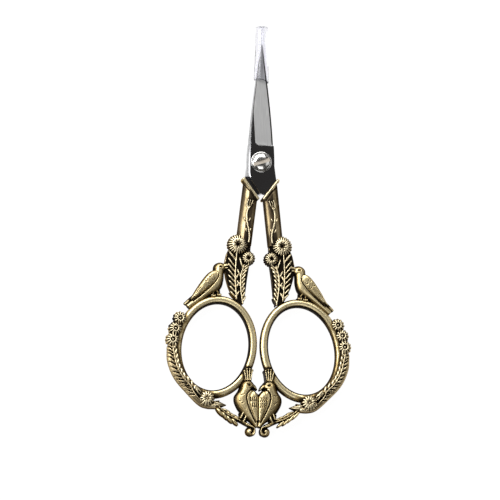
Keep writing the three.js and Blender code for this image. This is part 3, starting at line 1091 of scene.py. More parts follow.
@dataclass
class Relief:
    """One ornament: its shells, the cuts in its faces, how finely it is cast, and the painted shade laid on
    it.
    """

    name: str
    draft: Draft = field(default_factory=Draft)
    strokes: list[Stroke] = field(default_factory=list)
    voxel: float = 0.1
    smoothing: float = 0.5
    passes: int = 2
    inner: float = -math.inf
    seam_shade_band: float = 0.04
    sink: float = 1.0
    ground: Callable[[Rows], Rows] | None = None

    def score(self, path: Line, width: float, depth: float, tone: float) -> None:
        """Adds a cut along a path."""
        self.strokes.append(Stroke(path, width, depth, tone))

    def cast(self) -> Mesh:
        """Melts the shells into one skin, trims its inner side and cuts the strokes.

        Returns:
            The mesh, in millimetres, with the darkness of its cuts and its painted shade.
        """
        self.draft.both_faces()
        mesh = finished(self.draft.mesh(self.name), [
            ("REMESH", {"mode": "VOXEL", "voxel_size": self.voxel, "use_smooth_shade": True}),
            ("SMOOTH", {"factor": self.smoothing, "iterations": self.passes}),
        ])
        points = places(mesh)
        # Painted shade on the trimmed inner side, in the gap where it meets the other half
        tones = np.where(points[:, 0] < self.inner + self.seam_shade_band, 1.0, 0.0)
        points[:, 0] = np.maximum(points[:, 0], self.inner)
        # The ground gives painted shade, and on the shank patina as well
        if self.ground is not None:
            tones = np.maximum(tones, self.ground(points))
        for stroke in self.strokes:
            cut = stroke.reach(points)
            points[:, 2] -= np.sign(points[:, 2]) * np.minimum(cut * stroke.depth, np.abs(points[:, 2]))
            tones = np.maximum(tones, cut * stroke.tone)
        set_places(mesh, points)
        mesh["sink"] = self.sink
        lay_values(mesh, CUTS_AND_SHADE, tones)
        return mesh


@dataclass
class PatinaAndShade:
    """Lays patina and painted shade on castings: dark in hollows, cuts, beside higher neighbours and on
    walls, bright on ridges.
    """

    base: float = 0.115
    cell: float = 0.15
    reach: float = 0.75
    soften: int = 2
    sunk_start: float = 0.22
    sunk_span: float = 0.55
    sunk_steep: float = 0.2
    sunk_level: float = 0.8
    sunk_tone: float = 0.85
    blur: int = 10
    hollow_tone: float = 6.0
    hollow_limits: Point = (-0.04, 0.15)
    wall_tone: float = 0.62
    wall_turn: float = 1.15
    wall_power: float = 1.4
    shelter: float = 0.8

    def lay(self, meshes: Sequence[Mesh]) -> None:
        """Writes the patina and painted shade of all the castings of a handle.

        Args:
            meshes: The castings, in millimetres, with the darkness of their cuts and painted shade.
        """
        clouds = [places(mesh) for mesh in meshes]
        every = np.vstack(clouds)
        low = every[:, :2].min(axis=0) - 2 * self.reach
        size = ((every[:, :2].max(axis=0) + 2 * self.reach - low) / self.cell).astype(int) + 1
        tops = np.zeros(size)
        np.maximum.at(tops, self._cells(every, low), np.abs(every[:, 2]))
        wide = self._spread(tops)
        for mesh, cloud in zip(meshes, clouds):
            depth = wide[self._cells(cloud, low)] - np.abs(cloud[:, 2])
            tones = np.empty(len(cloud), np.float32)
            mesh.attributes[CUTS_AND_SHADE].data.foreach_get("value", tones)
            mesh.attributes.remove(mesh.attributes[CUTS_AND_SHADE])
            lay_values(mesh, PATINA_AND_SHADE, np.maximum(self._dark(mesh, cloud, depth), tones))

    def _cells(self, points: Rows, low: Rows) -> tuple[Rows, Rows]:
        """The column and row of the cells that points lie over, from a low corner."""
        columns, rows = ((points[:, :2] - low) / self.cell).astype(int).T
        return columns, rows

    def _dark(self, mesh: Mesh, cloud: Rows, depth: Rows) -> Rows:
        """Works out the patina and painted shade of a casting.

        Args:
            mesh: The casting.
            cloud: Its vertices.
            depth: How far each of them lies below its neighbourhood.

        Returns:
            The darkness at each vertex.
        """
        ways = normals(mesh)
        facing = np.abs(ways[:, 2])
        # Beside higher neighbours: patina, with painted shade standing in for their occlusion
        sunk = faded(depth - self.sunk_start, self.sunk_span) * (self.sunk_steep + self.sunk_level * facing)
        sunk *= mesh.get("sink", 1.0)
        hollow = np.clip(self._hollow(mesh, cloud, ways), *self.hollow_limits)
        dark = self.base + self.sunk_tone * sunk + self.hollow_tone * hollow
        # Steep walls: painted shade, lighter where they face +x
        sheltered = 1.0 - self.shelter * np.clip(ways[:, 0], 0.0, 1.0)
        steep = 1.0 - np.clip(facing * self.wall_turn, 0.0, 1.0)
        return dark + self.wall_tone * sheltered * steep ** self.wall_power

    def _spread(self, tops: Rows) -> Rows:
        """Finds the highest place within reach of each cell.

        Args:
            tops: The height over each cell.

        Returns:
            The highest, softened.
        """
        span = int(self.reach / self.cell)
        wide = tops.copy()
        for i in range(-span, span + 1):
            for k in range(-span, span + 1):
                if i * i + k * k <= span * span:
                    wide = np.maximum(wide, np.roll(tops, (i, k), axis=(0, 1)))
        soft = np.zeros_like(tops)
        near = range(-self.soften, self.soften + 1)
        for i in near:
            for k in near:
                soft += np.roll(wide, (i, k), axis=(0, 1)) / len(near) ** 2
        return soft

    def _hollow(self, mesh: Mesh, cloud: Rows, ways: Rows) -> Rows:
        """Finds how far each vertex lies below its smoothed surroundings.

        Args:
            mesh: The casting.
            cloud: Its vertices.
            ways: Their directions.

        Returns:
            Millimetres, negative on ridges.
        """
        edges = np.empty(len(mesh.edges) * 2, np.int32)
        mesh.edges.foreach_get("vertices", edges)
        first, second = edges.reshape(-1, 2).T
        count = np.bincount(edges, minlength=len(cloud))[:, None]
        soft = cloud.copy()
        for _ in range(self.blur):
            total = np.zeros_like(soft)
            for axis in range(3):
                total[:, axis] = np.bincount(first, soft[second, axis], len(soft))
                total[:, axis] += np.bincount(second, soft[first, axis], len(soft))
            soft = 0.5 * soft + 0.5 * total / np.maximum(count, 1)
        return np.einsum("ij,ij->i", soft - cloud, ways)


@dataclass(frozen=True)
class BowLine:
    """The middle line of a finger bow, an ellipse tilted about its centre, and its bar."""

    wide: float = 10.7
    long: float = 13.7
    tilt: float = 10.8
    centre: Point = (12.41, -53.6)
    bar: float = 2.4
    height: float = 1.5

    def point(self, angle: float, out: float = 0.0) -> Point:
        """A place round the bow.

        Args:
            angle: Degrees from its outer side.
            out: Millimetres outwards from the middle line.

        Returns:
            The place.
        """
        turn = math.radians(angle)
        lean = math.radians(self.tilt)
        away = np.array([self.long * math.cos(turn), self.wide * math.sin(turn)])
        line = np.array([self.wide * math.cos(turn), self.long * math.sin(turn)])
        x, y = line + out * away / np.linalg.norm(away)
        return (self.centre[0] + x * math.cos(lean) - y * math.sin(lean),
                self.centre[1] + x * math.sin(lean) + y * math.cos(lean))


@dataclass(frozen=True)
class Daisy:
    """A daisy: where it sits, how wide and high it stands, and how many petals it has."""

    place: Point
    diameter: float
    height: float
    petals: int
    eye: Eye = Eye.STAR
    cut: float = 0.09
    cut_depth: float = 0.16
    cut_from: float = 0.6
    cut_to: float = 1.08
    heart: float = 0.9
    heart_drop: float = 0.3
    widest: float = 0.72

    def carve(self, relief: Relief, ring: PetalRing) -> None:
        """Adds the daisy to a relief.

        Args:
            relief: Where it goes.
            ring: The tree that makes its petals.
        """
        x, y = self.place
        draft = relief.draft
        radius = self.diameter / 2
        width = FULL_TURN * self.widest * radius / self.petals
        heart = self.heart * radius
        draft.bead((x, y, 0.0), (heart, heart, self.height - self.heart_drop))
        petals = ring.mesh(Petals=self.petals, Radius=0.6 * radius, Length=0.8 * radius,
                           Width=1.04 * width, Height=0.66, Lean=0.3)
        draft.add_mesh(petals, (x, y, self.height - 0.4))
        skirt = ring.mesh(Petals=self.petals, Radius=0.86 * radius, Length=1.7,
                          Width=1.12 * width, Height=0.6, Lean=1.12)
        draft.add_mesh(skirt, (x, y, self.height - 1.15))
        depth = self.cut_depth + 2 * (self.cut - Daisy.cut)
        for turn in turns_round(self.petals) + math.pi / self.petals:
            slit = (self._spot(turn, self.cut_from), self._spot(turn, self.cut_to))
            relief.score(slit, self.cut, depth, 1.0)
        self._open_eye(relief)

    def _spot(self, turn: float, share: float) -> Point:
        """A place in the daisy, by its turn in radians and its share of the radius."""
        reach = share * self.diameter / 2
        return self.place[0] + reach * math.cos(turn), self.place[1] + reach * math.sin(turn)

    def _open_eye(self, relief: Relief) -> None:
        """Cuts the daisy's middle.

        Args:
            relief: Where it is cut.
        """
        if self.eye is Eye.BUDS:
            for turn in turns_round(7):
                relief.score((self._spot(turn, 0.1), self._spot(turn, 0.42)), 0.08, 0.14, 0.8)
        elif self.eye is Eye.STAR:
            relief.score((self.place, self.place), 0.11 * self.diameter / 2, 0.45, 1.0)
            for turn in turns_round(8) + math.radians(17):
                relief.score((self.place, self._spot(turn, 0.41)), 0.1, 0.24, 1.0)
        else:
            circle = tuple(self._spot(turn, 0.25) for turn in np.linspace(0.0, FULL_TURN, 13))
            relief.score(circle, 0.15, 0.35, 1.0)


@dataclass
class Shank:
    """The shank under a blade, with its slanted collar and a raised vine."""

    collar_outer: Point = (4.74, -5.24)
    collar_inner: Point = (0.85, -10.5)
    collar_width: float = 0.8
    collar_height: float = 2.15
    collar_crest: float = 0.36
    collar_reach: Place = (-0.04, 0.5, 1.0)
    knob: Point = (0.62, 0.55)
    knob_out: float = 0.02
    shade_below: float = 0.76
    end: Point = (4.45, -22.4)
    width: float = 4.4
    height: float = 1.95
    rings: int = 30
    section: Line = (
        (-1.0, 0.3), (-0.93, 0.54), (-0.8, 0.73), (-0.6, 0.87), (-0.35, 0.96), (-0.1, 0.985), (0.12, 0.965),
        (0.26, 0.925), (0.38, 0.855), (0.5, 0.765), (0.62, 0.67), (0.74, 0.57), (0.86, 0.47), (1.0, 0.32),
    )
    vine: Line = (
        (3.56, -13.4), (3.95, -14.5), (4.05, -15.8), (3.9, -17.6), (3.4, -19.8), (3.2, -21.6), (3.4, -23.2),
    )
    vine_size: Point = (0.26, 0.44)
    leaves: tuple[Line, ...] = (
        ((4.5, -17.05), (4.72, -16.1)), ((3.3, -17.15), (3.05, -16.25)),
        ((4.05, -20.25), (4.35, -19.3)), ((3.0, -20.1), (2.82, -19.2)),
    )
    leaf_sizes: Line = ((0.14, 0.3), (0.26, 0.4), (0.14, 0.32))
    bud: tuple[Stations, ...] = (
        ((3.62, -13.8, 0.16), (4.02, -12.6, 0.18), (3.62, -10.95, 0.18)),
        ((3.5, -13.3, 0.12), (3.42, -12.4, 0.15), (3.02, -11.2, 0.16)),
        ((3.54, -13.8, 0.16), (2.92, -12.6, 0.2), (2.3, -11.2, 0.2)),
    )
    bud_thick: float = 0.42
    bud_cuts_and_shade: tuple[Line, ...] = (((3.34, -11.4), (3.72, -12.9)), ((2.68, -11.5), (3.2, -12.8)))
    seat: float = 0.06
    # The panel's darkness: patina with painted shade along it and round the vine, a painted highlight stripe
    # and painted shade across it
    patina_and_shade_along: Line = ((0.0, 0.62), (0.14, 0.56), (0.35, 0.48), (0.8, 0.46), (1.0, 0.62))
    painted_stripe_across: Line = ((-0.75, 0.5), (-0.45, 1.0), (0.12, 1.0), (0.3, 0.3), (0.55, 0.3), (0.68, 0.8))
    brown_sides: Line = ((-1.0, 0.3), (-0.85, 0.12), (-0.6, 0.0), (0.7, 0.0), (0.9, 0.15))
    brown_vine: float = 0.26
    brown_spread: float = 0.55

    def relief(self) -> Relief:
        """Shapes the shank.

        Returns:
            The relief.
        """
        relief = Relief("shank", voxel=0.075, sink=0.15, ground=self._browned)
        outer, _, top, end = self._corners()
        run = (end - top) / np.linalg.norm(end - top)
        across = np.array([-run[1], run[0]]) * self.width / 2
        loop = [*self.section, *((s, -z) for s, z in reversed(self.section))]
        rings = []
        for share in np.linspace(0.0, 1.0, self.rings):
            middle = top + (end + run * self.width / 3 - top) * share
            side = (outer - top) * (1 - share) + across * share
            rings.append([(*(middle + side * s), z * self.height) for s, z in loop])
        relief.draft.loft(np.array(rings))
        self._collar(relief)
        self._vine(relief)
        return relief

    def _collar(self, relief: Relief) -> None:
        """Lays the collar across the shank's top, with a groove under it painted dark as shade.

        Args:
            relief: Where it goes.
        """
        draft = relief.draft
        outer, inner, top, _ = self._corners()
        half = self.collar_width / 2
        level = self.collar_height - self.collar_crest
        rim = [tuple(outer + (inner - outer) * share) for share in self.collar_reach]
        draft.bar([(*spot, half, level) for spot in rim], sides=24, box=4.0)
        draft.bar([(*spot, half, self.collar_crest, level) for spot in rim], sides=24)
        draft.bead((*(outer + (outer - inner) * self.knob_out), 0.0), (*self.knob, self.collar_height))
        run = (inner - outer) / np.linalg.norm(inner - outer)
        below = np.array([-run[1], run[0]]) * self.shade_below
        # Painted shade under the collar
        relief.score(tuple(tuple(spot + below) for spot in (outer, top, inner)), 0.22, 0.12, 0.9)

    def _vine(self, relief: Relief) -> None:
        """Lays the vine, its leaves and its bud on the shank's face.

        Args:
            relief: Where they go.
        """
        draft = relief.draft
        draft.bar([(*spot, *self.vine_size, self._face(spot)) for spot in self.vine], sides=16, box=2.8)
        for root, tip in self.leaves:
            spots = (root, midway(root, tip), tip)
            leaf = [(*spot, *size, self._face(spot)) for spot, size in zip(spots, self.leaf_sizes)]
            draft.bar(leaf, sides=10)
        for path in self.bud:
            draft.bar([(x, y, half, self.bud_thick, self._face((x, y))) for x, y, half in path], sides=12)
        for path in self.bud_cuts_and_shade:
            relief.score(path, 0.13, 0.15, 0.95)

    def _corners(self) -> tuple[Rows, Rows, Rows, Rows]:
        """The collar's outer and inner end, the middle between them, and the shank's lower end."""
        outer, inner, end = (np.array(p) for p in (self.collar_outer, self.collar_inner, self.end))
        return outer, inner, (outer + inner) / 2, end

    def _share(self, points: Rows) -> tuple[Rows, Rows]:
        """Finds where points lie on the shank.

        Args:
            points: The points.

        Returns:
            How far down it they lie, from 0 to 1, and how far across it, from -1 to 1.
        """
        _, _, top, end = self._corners()
        share = np.clip((points[:, 1] - top[1]) / (end[1] - top[1]), 0.0, 1.0)
        return share, (points[:, 0] - top[0] - (end[0] - top[0]) * share) / (self.width / 2)

    def _face(self, spot: Point) -> float:
        """The height of the shank's face at a spot, a little below the skin."""
        across = self._share(np.array([spot]))[1]
        return float(graded(across, self.section)[0]) * self.height - self.seat

    def _browned(self, points: Rows) -> Rows:
        """Finds the panel's patina and painted light: a painted highlight stripe, painted shade at its edges,
        and patina with painted shade under the collar, at the lower end and round the vine.

        Args:
            points: The casting's vertices.

        Returns:
            The darkness at each.
        """
        share, across = self._share(points)
        sunk = faded(graded(across, self.section) * self.height + 0.2 - np.abs(points[:, 2]), 0.15)
        panel = graded(share, self.patina_and_shade_along) * graded(across, self.painted_stripe_across)
        vine = np.vstack([spline(self.vine, 4), *(np.array(path)[:, :2] for path in self.bud)])
        away = np.min(np.linalg.norm(points[:, None, :2] - vine[None], axis=2), axis=1)
        border = self.brown_vine * np.exp(-(away / self.brown_spread) ** 2)
        dark = sunk * (panel + graded(across, self.brown_sides) + border)
        return np.where(np.abs(across) < 1.1, dark, 0.0)


@dataclass
class Fern:
    """Two upright fronds on a thin web, with a big and a small daisy above them."""

    ring: PetalRing
    row: LeafRow
    big: Daisy = Daisy((6.35, -23.95), 6.0, 2.1, 22)
    small: Daisy = Daisy((3.3, -27.7), 3.9, 2.1, 16)
    web: Line = (
        (2.5, -22.6), (2.9, -29.4), (3.5, -33.5), (4.0, -37.8), (4.6, -41.0), (6.9, -40.3), (7.9, -38.4),
        (8.95, -36.0), (9.65, -33.6), (10.0, -31.5), (10.05, -29.2), (9.5, -26.7), (8.6, -24.8), (6.6, -22.6),
    )
    web_height: float = 0.85
    outer_stem: Line = ((6.65, -39.7), (6.9, -36.6), (7.1, -33.4), (7.0, -30.0), (6.75, -26.6))
    outer_rows: tuple[Leaves, ...] = (
        Leaves(-0.66, 2.7, 3.7, 7, 0.02, 0.68, 0.6, 1.15), Leaves(0.46, 2.2, 2.2, 3, 0.04, 0.4, 0.6, 1.15),
    )
    inner_stem: Line = ((4.85, -40.9), (5.42, -37.1), (5.55, -34.6), (5.35, -32.3), (4.6, -29.8))
    inner_rows: tuple[Leaves, ...] = (
        Leaves(0.6, 2.2, 3.2, 9, 0.03, 0.9, 0.6, 1.15), Leaves(-0.5, 2.3, 3.4, 3, 0.42, 0.9, 0.6, 1.15),
    )
    level: float = 1.3
    leaf_seat: float = 0.05
    stem_size: Point = (0.22, 0.55)
    top_leaf: Stations = ((7.0, -28.7, 0.2, 0.45), (8.0, -27.2, 0.36, 0.5), (8.95, -25.9, 0.1, 0.4))

    def relief(self) -> Relief:
        """Shapes the fern.

        Returns:
            The relief.
        """
        relief = Relief("fern", voxel=0.095)
        draft = relief.draft
        draft.slab(self.web, -self.web_height, self.web_height)
        for stem, rows in ((self.outer_stem, self.outer_rows), (self.inner_stem, self.inner_rows)):
            path = spline(stem, 6)
            draft.bar([(*spot, *self.stem_size, self.level) for spot in stem], box=2.8)
            for leaves in rows:
                draft.add_mesh(self.row.beside(path, self.level - self.leaf_seat, leaves))
        draft.bar([(*station, self.level) for station in self.top_leaf], sides=10)
        self.big.carve(relief, self.ring)
        self.small.carve(relief, self.ring)
        return relief


@dataclass
class RimGarland:
    """Three daisies and a long frond down the outer side of a bow, and the daisy under it."""

    bow: BowLine
    ring: PetalRing
    row: LeafRow
    angles: Place = (22.2, 9.6, -3.0)
    daisy_out: float = 1.675
    daisy_height: float = 2.05
    daisy: float = 3.8
    petals: int = 12
    petal_cut: float = 0.13
    low_daisy: Point = (14.7, -68.5)
    low_size: float = 4.5
    low_petals: int = 14
    ledge: Stations = (
        (25.0, -54.4, 1.25), (24.75, -58.2, 1.3), (22.9, -62.4, 1.35), (19.7, -66.1, 1.3), (16.4, -69.4, 1.2),
        (14.4, -70.35, 1.0), (12.4, -70.6, 0.75),
    )
    ledge_height: float = 1.45
    stem: Line = (
        (16.6, -69.2), (18.5, -67.1), (19.6, -65.15), (21.7, -62.9), (23.35, -60.1), (24.2, -57.0),
        (24.75, -54.2),
    )
    stem_size: Point = (0.21, 0.6)
    level: float = 1.5
    frond: Leaves = Leaves(0.4, 2.2, 1.9, 10, 0.16, 0.95, 0.82, 1.3, 0.3)
    frond_seat: float = 0.05
    slits: int = 14
    slit_reach: Point = (0.14, 0.97)
    slit_root: float = 0.3
    slit_inner: Point = (0.85, 0.75)
    slit_outer: Point = (0.6, 0.95)
    hollow_leaf: Stations = ((16.4, -67.7, 0.36), (17.2, -66.7, 0.64), (18.15, -65.2, 0.26))
    hollow_thick: float = 0.62
    hollow_shade: Line = ((18.9, -65.9), (18.0, -67.2), (17.0, -68.6))
    low_root: Point = (13.2, -69.8)
    low_leaves: Stations = ((11.0, -68.9, 0.6), (9.1, -70.1, 0.95))
    low_sag: float = 0.15
    ground_level: float = 1.62
    ground_reach: float = 2.2
    inner_tone: float = 0.95
    ledge_tone: float = 0.2
    ledge_from: float = 0.9

    def relief(self) -> Relief:
        """Shapes the garland.

        Returns:
            The relief.
        """
        relief = Relief("rim_garland", voxel=0.094, sink=0.3, ground=self._shaded)
        draft = relief.draft
        for angle in self.angles:
            place = self.bow.point(angle, self.daisy_out)
            daisy = Daisy(place, self.daisy, self.daisy_height, self.petals, Eye.RING, self.petal_cut)
            daisy.carve(relief, self.ring)
        low = Daisy(self.low_daisy, self.low_size, self.daisy_height, self.low_petals, Eye.BUDS)
        low.carve(relief, self.ring)
        draft.bar([(*station, self.ledge_height) for station in self.ledge], sides=18, box=2.2)
        path = spline(self.stem, 10)
        draft.bar([(*spot, *self.stem_size, self.level) for spot in self.stem], sides=16, box=2.8)
        draft.add_mesh(self.row.beside(path, self.level - self.frond_seat, self.frond))
        self._slits(relief, path)
        leaf = [(*station, self.hollow_thick, self.level) for station in self.hollow_leaf]
        draft.bar(leaf, sides=14, box=2.8)
        relief.score(tuple(station[:2] for station in leaf[:2]), 0.17, 0.5, 1.0)
        relief.score(self.hollow_shade, 0.2, 0.4, 1.0)
        for *tip, wide in self.low_leaves:
            x, y = midway(self.low_root, tip)
            middle = (x, y - self.low_sag)
            draft.bar([(*self.low_root, 0.6, 1.3), (*middle, wide, 1.45), (*tip, 0.12, 0.8)], sides=16)
            relief.score((self.low_root, middle, tuple(tip)), 0.09, 0.16, 0.9)
        return relief

    def _slits(self, relief: Relief, path: Rows) -> None:
        """Cuts the slits between the outer leaflets, with a faint line beyond each.

        Args:
            relief: Where they are cut.
            path: The stem's points.
        """
        left = leftward(path)
        for share in np.linspace(*self.slit_reach, self.slits):
            i = round(share * (len(path) - 1))
            side = -left[i]
            way = np.array([-side[1], side[0]])
            root = path[i] + self.slit_root * side
            middle = root + self.slit_inner[0] * way + self.slit_inner[1] * side
            tip = middle + self.slit_outer[0] * way + self.slit_outer[1] * side
            relief.score((tuple(root), tuple(middle)), 0.18, 0.4, 1.0)
            relief.score((tuple(middle), tuple(tip)), 0.13, 0.2, 0.5)

    def _shaded(self, points: Rows) -> Rows:
        """Finds how dark the ground inside the stem and the ledge outside it are left.

        Args:
            points: The casting's vertices.

        Returns:
            The darkness at each.
        """
        path = spline(self.stem, 10)
        offsets = points[:, None, :2] - path[None]
        near = np.argmin(np.linalg.norm(offsets, axis=2), axis=1)
        away = np.einsum("ij,ij->i", offsets[np.arange(len(points)), near], leftward(path)[near])
        ground = faded(self.ground_level - np.abs(points[:, 2]), 0.2)
        inside = self.inner_tone * ground * faded(away + 0.05, 0.2) * (away < self.ground_reach) * (near > 1)
        ledge = (away < -self.ledge_from) & (away > -self.ground_reach)
        return np.maximum(inside, np.where(ledge, self.ledge_tone * ground, 0.0))


@dataclass
class PerchedBird:
    """The bird that stands on a bow, its tail outwards. Body and wing rise by shares of its height."""

    height: float = 2.1
    body: Stations = (
        (11.6, -31.1, 1.65, 0.88), (11.85, -32.5, 1.75, 0.92), (12.2, -34.2, 2.0, 0.93),
        (13.0, -36.0, 2.1, 0.92), (15.2, -38.0, 1.45, 0.8), (17.7, -40.15, 1.05, 0.7),
        (20.3, -42.25, 0.95, 0.6),
    )
    head: Point = (11.4, -30.9)
    head_size: Place = (1.95, 1.7, 0.9)
    head_turn: float = -15.0
    beak: tuple[Stations, ...] = (
        ((10.7, -30.4, 0.62, 0.7, 0.7), (9.7, -30.15, 0.5, 0.6, 1.0), (8.8, -29.95, 0.22, 0.4, 1.3)),
        ((10.6, -30.95, 0.5, 0.6, 0.65), (9.8, -30.85, 0.36, 0.5, 0.9), (9.2, -30.8, 0.14, 0.35, 1.1)),
    )
    wing: Stations = (
        (12.45, -32.25, 0.85, 0.86), (13.1, -32.95, 1.4, 0.97), (14.1, -34.15, 1.6, 1.0),
        (15.55, -35.85, 1.45, 0.97), (17.3, -37.85, 1.05, 0.91), (19.5, -40.3, 0.28, 0.78),
    )
    tail: Stations = ((17.8, -38.5, 0.5, 0.9), (19.6, -40.15, 0.58, 0.95), (21.25, -41.7, 0.52, 0.9))
    perch: Line = (
        (11.2, -37.2), (12.8, -36.8), (15.0, -38.2), (18.2, -41.2), (17.8, -42.5), (14.6, -40.8),
        (12.6, -40.2), (11.0, -39.9),
    )
    perch_height: float = 0.5
    legs: tuple[Line, ...] = (((12.3, -37.4), (11.6, -38.5)), ((13.3, -37.9), (13.2, -38.8)))
    leg_level: float = 0.9
    toes: Place = (-0.45, 0.0, 0.45)
    toe_size: Place = (0.24, 0.48, 0.85)
    eye: Line = ((11.05, -30.62), (11.5, -30.57))
    mouth: Line = ((10.2, -30.62), (9.3, -30.4))
    nape: Line = ((13.1, -31.75), (12.3, -31.95), (11.95, -32.6))
    wing_edge: Line = (
        (11.9, -32.9), (12.0, -33.7), (12.5, -34.6), (13.2, -35.5), (14.25, -36.65), (15.65, -38.0),
        (17.2, -39.35), (19.0, -40.8),
    )
    tail_line: Line = ((18.6, -39.6), (21.6, -42.4))
    feathers: Line = ((14.3, -33.5), (13.4, -34.3), (15.4, -34.75), (14.5, -35.5))
    feather: Line = ((-0.3, 0.3), (-0.2, -0.25), (0.2, -0.3), (0.4, 0.05))
    quills: Stations = ((16.5, -36.2, 2.6), (15.75, -36.7, 2.7), (17.0, -36.9, 2.2))
    quill_way: Point = (0.62, -0.78)
    side_level: float = 0.62
    side_tone: float = 0.9

    def relief(self) -> Relief:
        """Shapes the bird.

        Returns:
            The relief.
        """
        relief = Relief("perched_bird", voxel=0.08, ground=self._shaded)
        draft = relief.draft
        draft.bar(raised(self.body, self.height), sides=22, nose=0.35)
        long, wide, share = self.head_size
        draft.bead((*self.head, 0.0), (long, wide, share * self.height), self.head_turn)
        for stations in self.beak:
            draft.bar(stations)
        draft.bar(raised(self.wing, self.height), sides=28, nose=0.8, box=3.2)
        draft.bar(self.tail, nose=0.3)
        draft.slab(self.perch, -self.perch_height, self.perch_height)
        for hip, foot in self.legs:
            draft.bar([(*hip, 0.32, 0.5, self.leg_level), (*foot, 0.28, 0.45, self.leg_level)])
            for toe in self.toes:
                draft.bead((foot[0] + toe, foot[1] - 0.25, 1.0), self.toe_size, -25 * toe)
        self._mark(relief)
        return relief

    def _mark(self, relief: Relief) -> None:
        """Cuts the eye, the beak, the wing's edge and the feathers.

        Args:
            relief: Where they are cut.
        """
        relief.score(self.eye, 0.27, 0.25, 1.0)
        relief.score(self.mouth, 0.11, 0.2, 1.0)
        relief.score(self.nape, 0.09, 0.14, 0.7)
        relief.score(self.wing_edge, 0.15, 0.35, 1.0)
        relief.score(self.tail_line, 0.14, 0.3, 0.95)
        for x, y in self.feathers:
            relief.score(tuple((x + along, y + up) for along, up in self.feather), 0.1, 0.12, 0.75)
        for x, y, reach in self.quills:
            tip = (x + self.quill_way[0] * reach, y + self.quill_way[1] * reach)
            relief.score(((x, y), tip), 0.08, 0.08, 0.5)

    def _shaded(self, points: Rows) -> Rows:
        """How dark the sides are left, at each point."""
        return np.where(np.abs(points[:, 2]) < self.side_level, self.side_tone, 0.0)


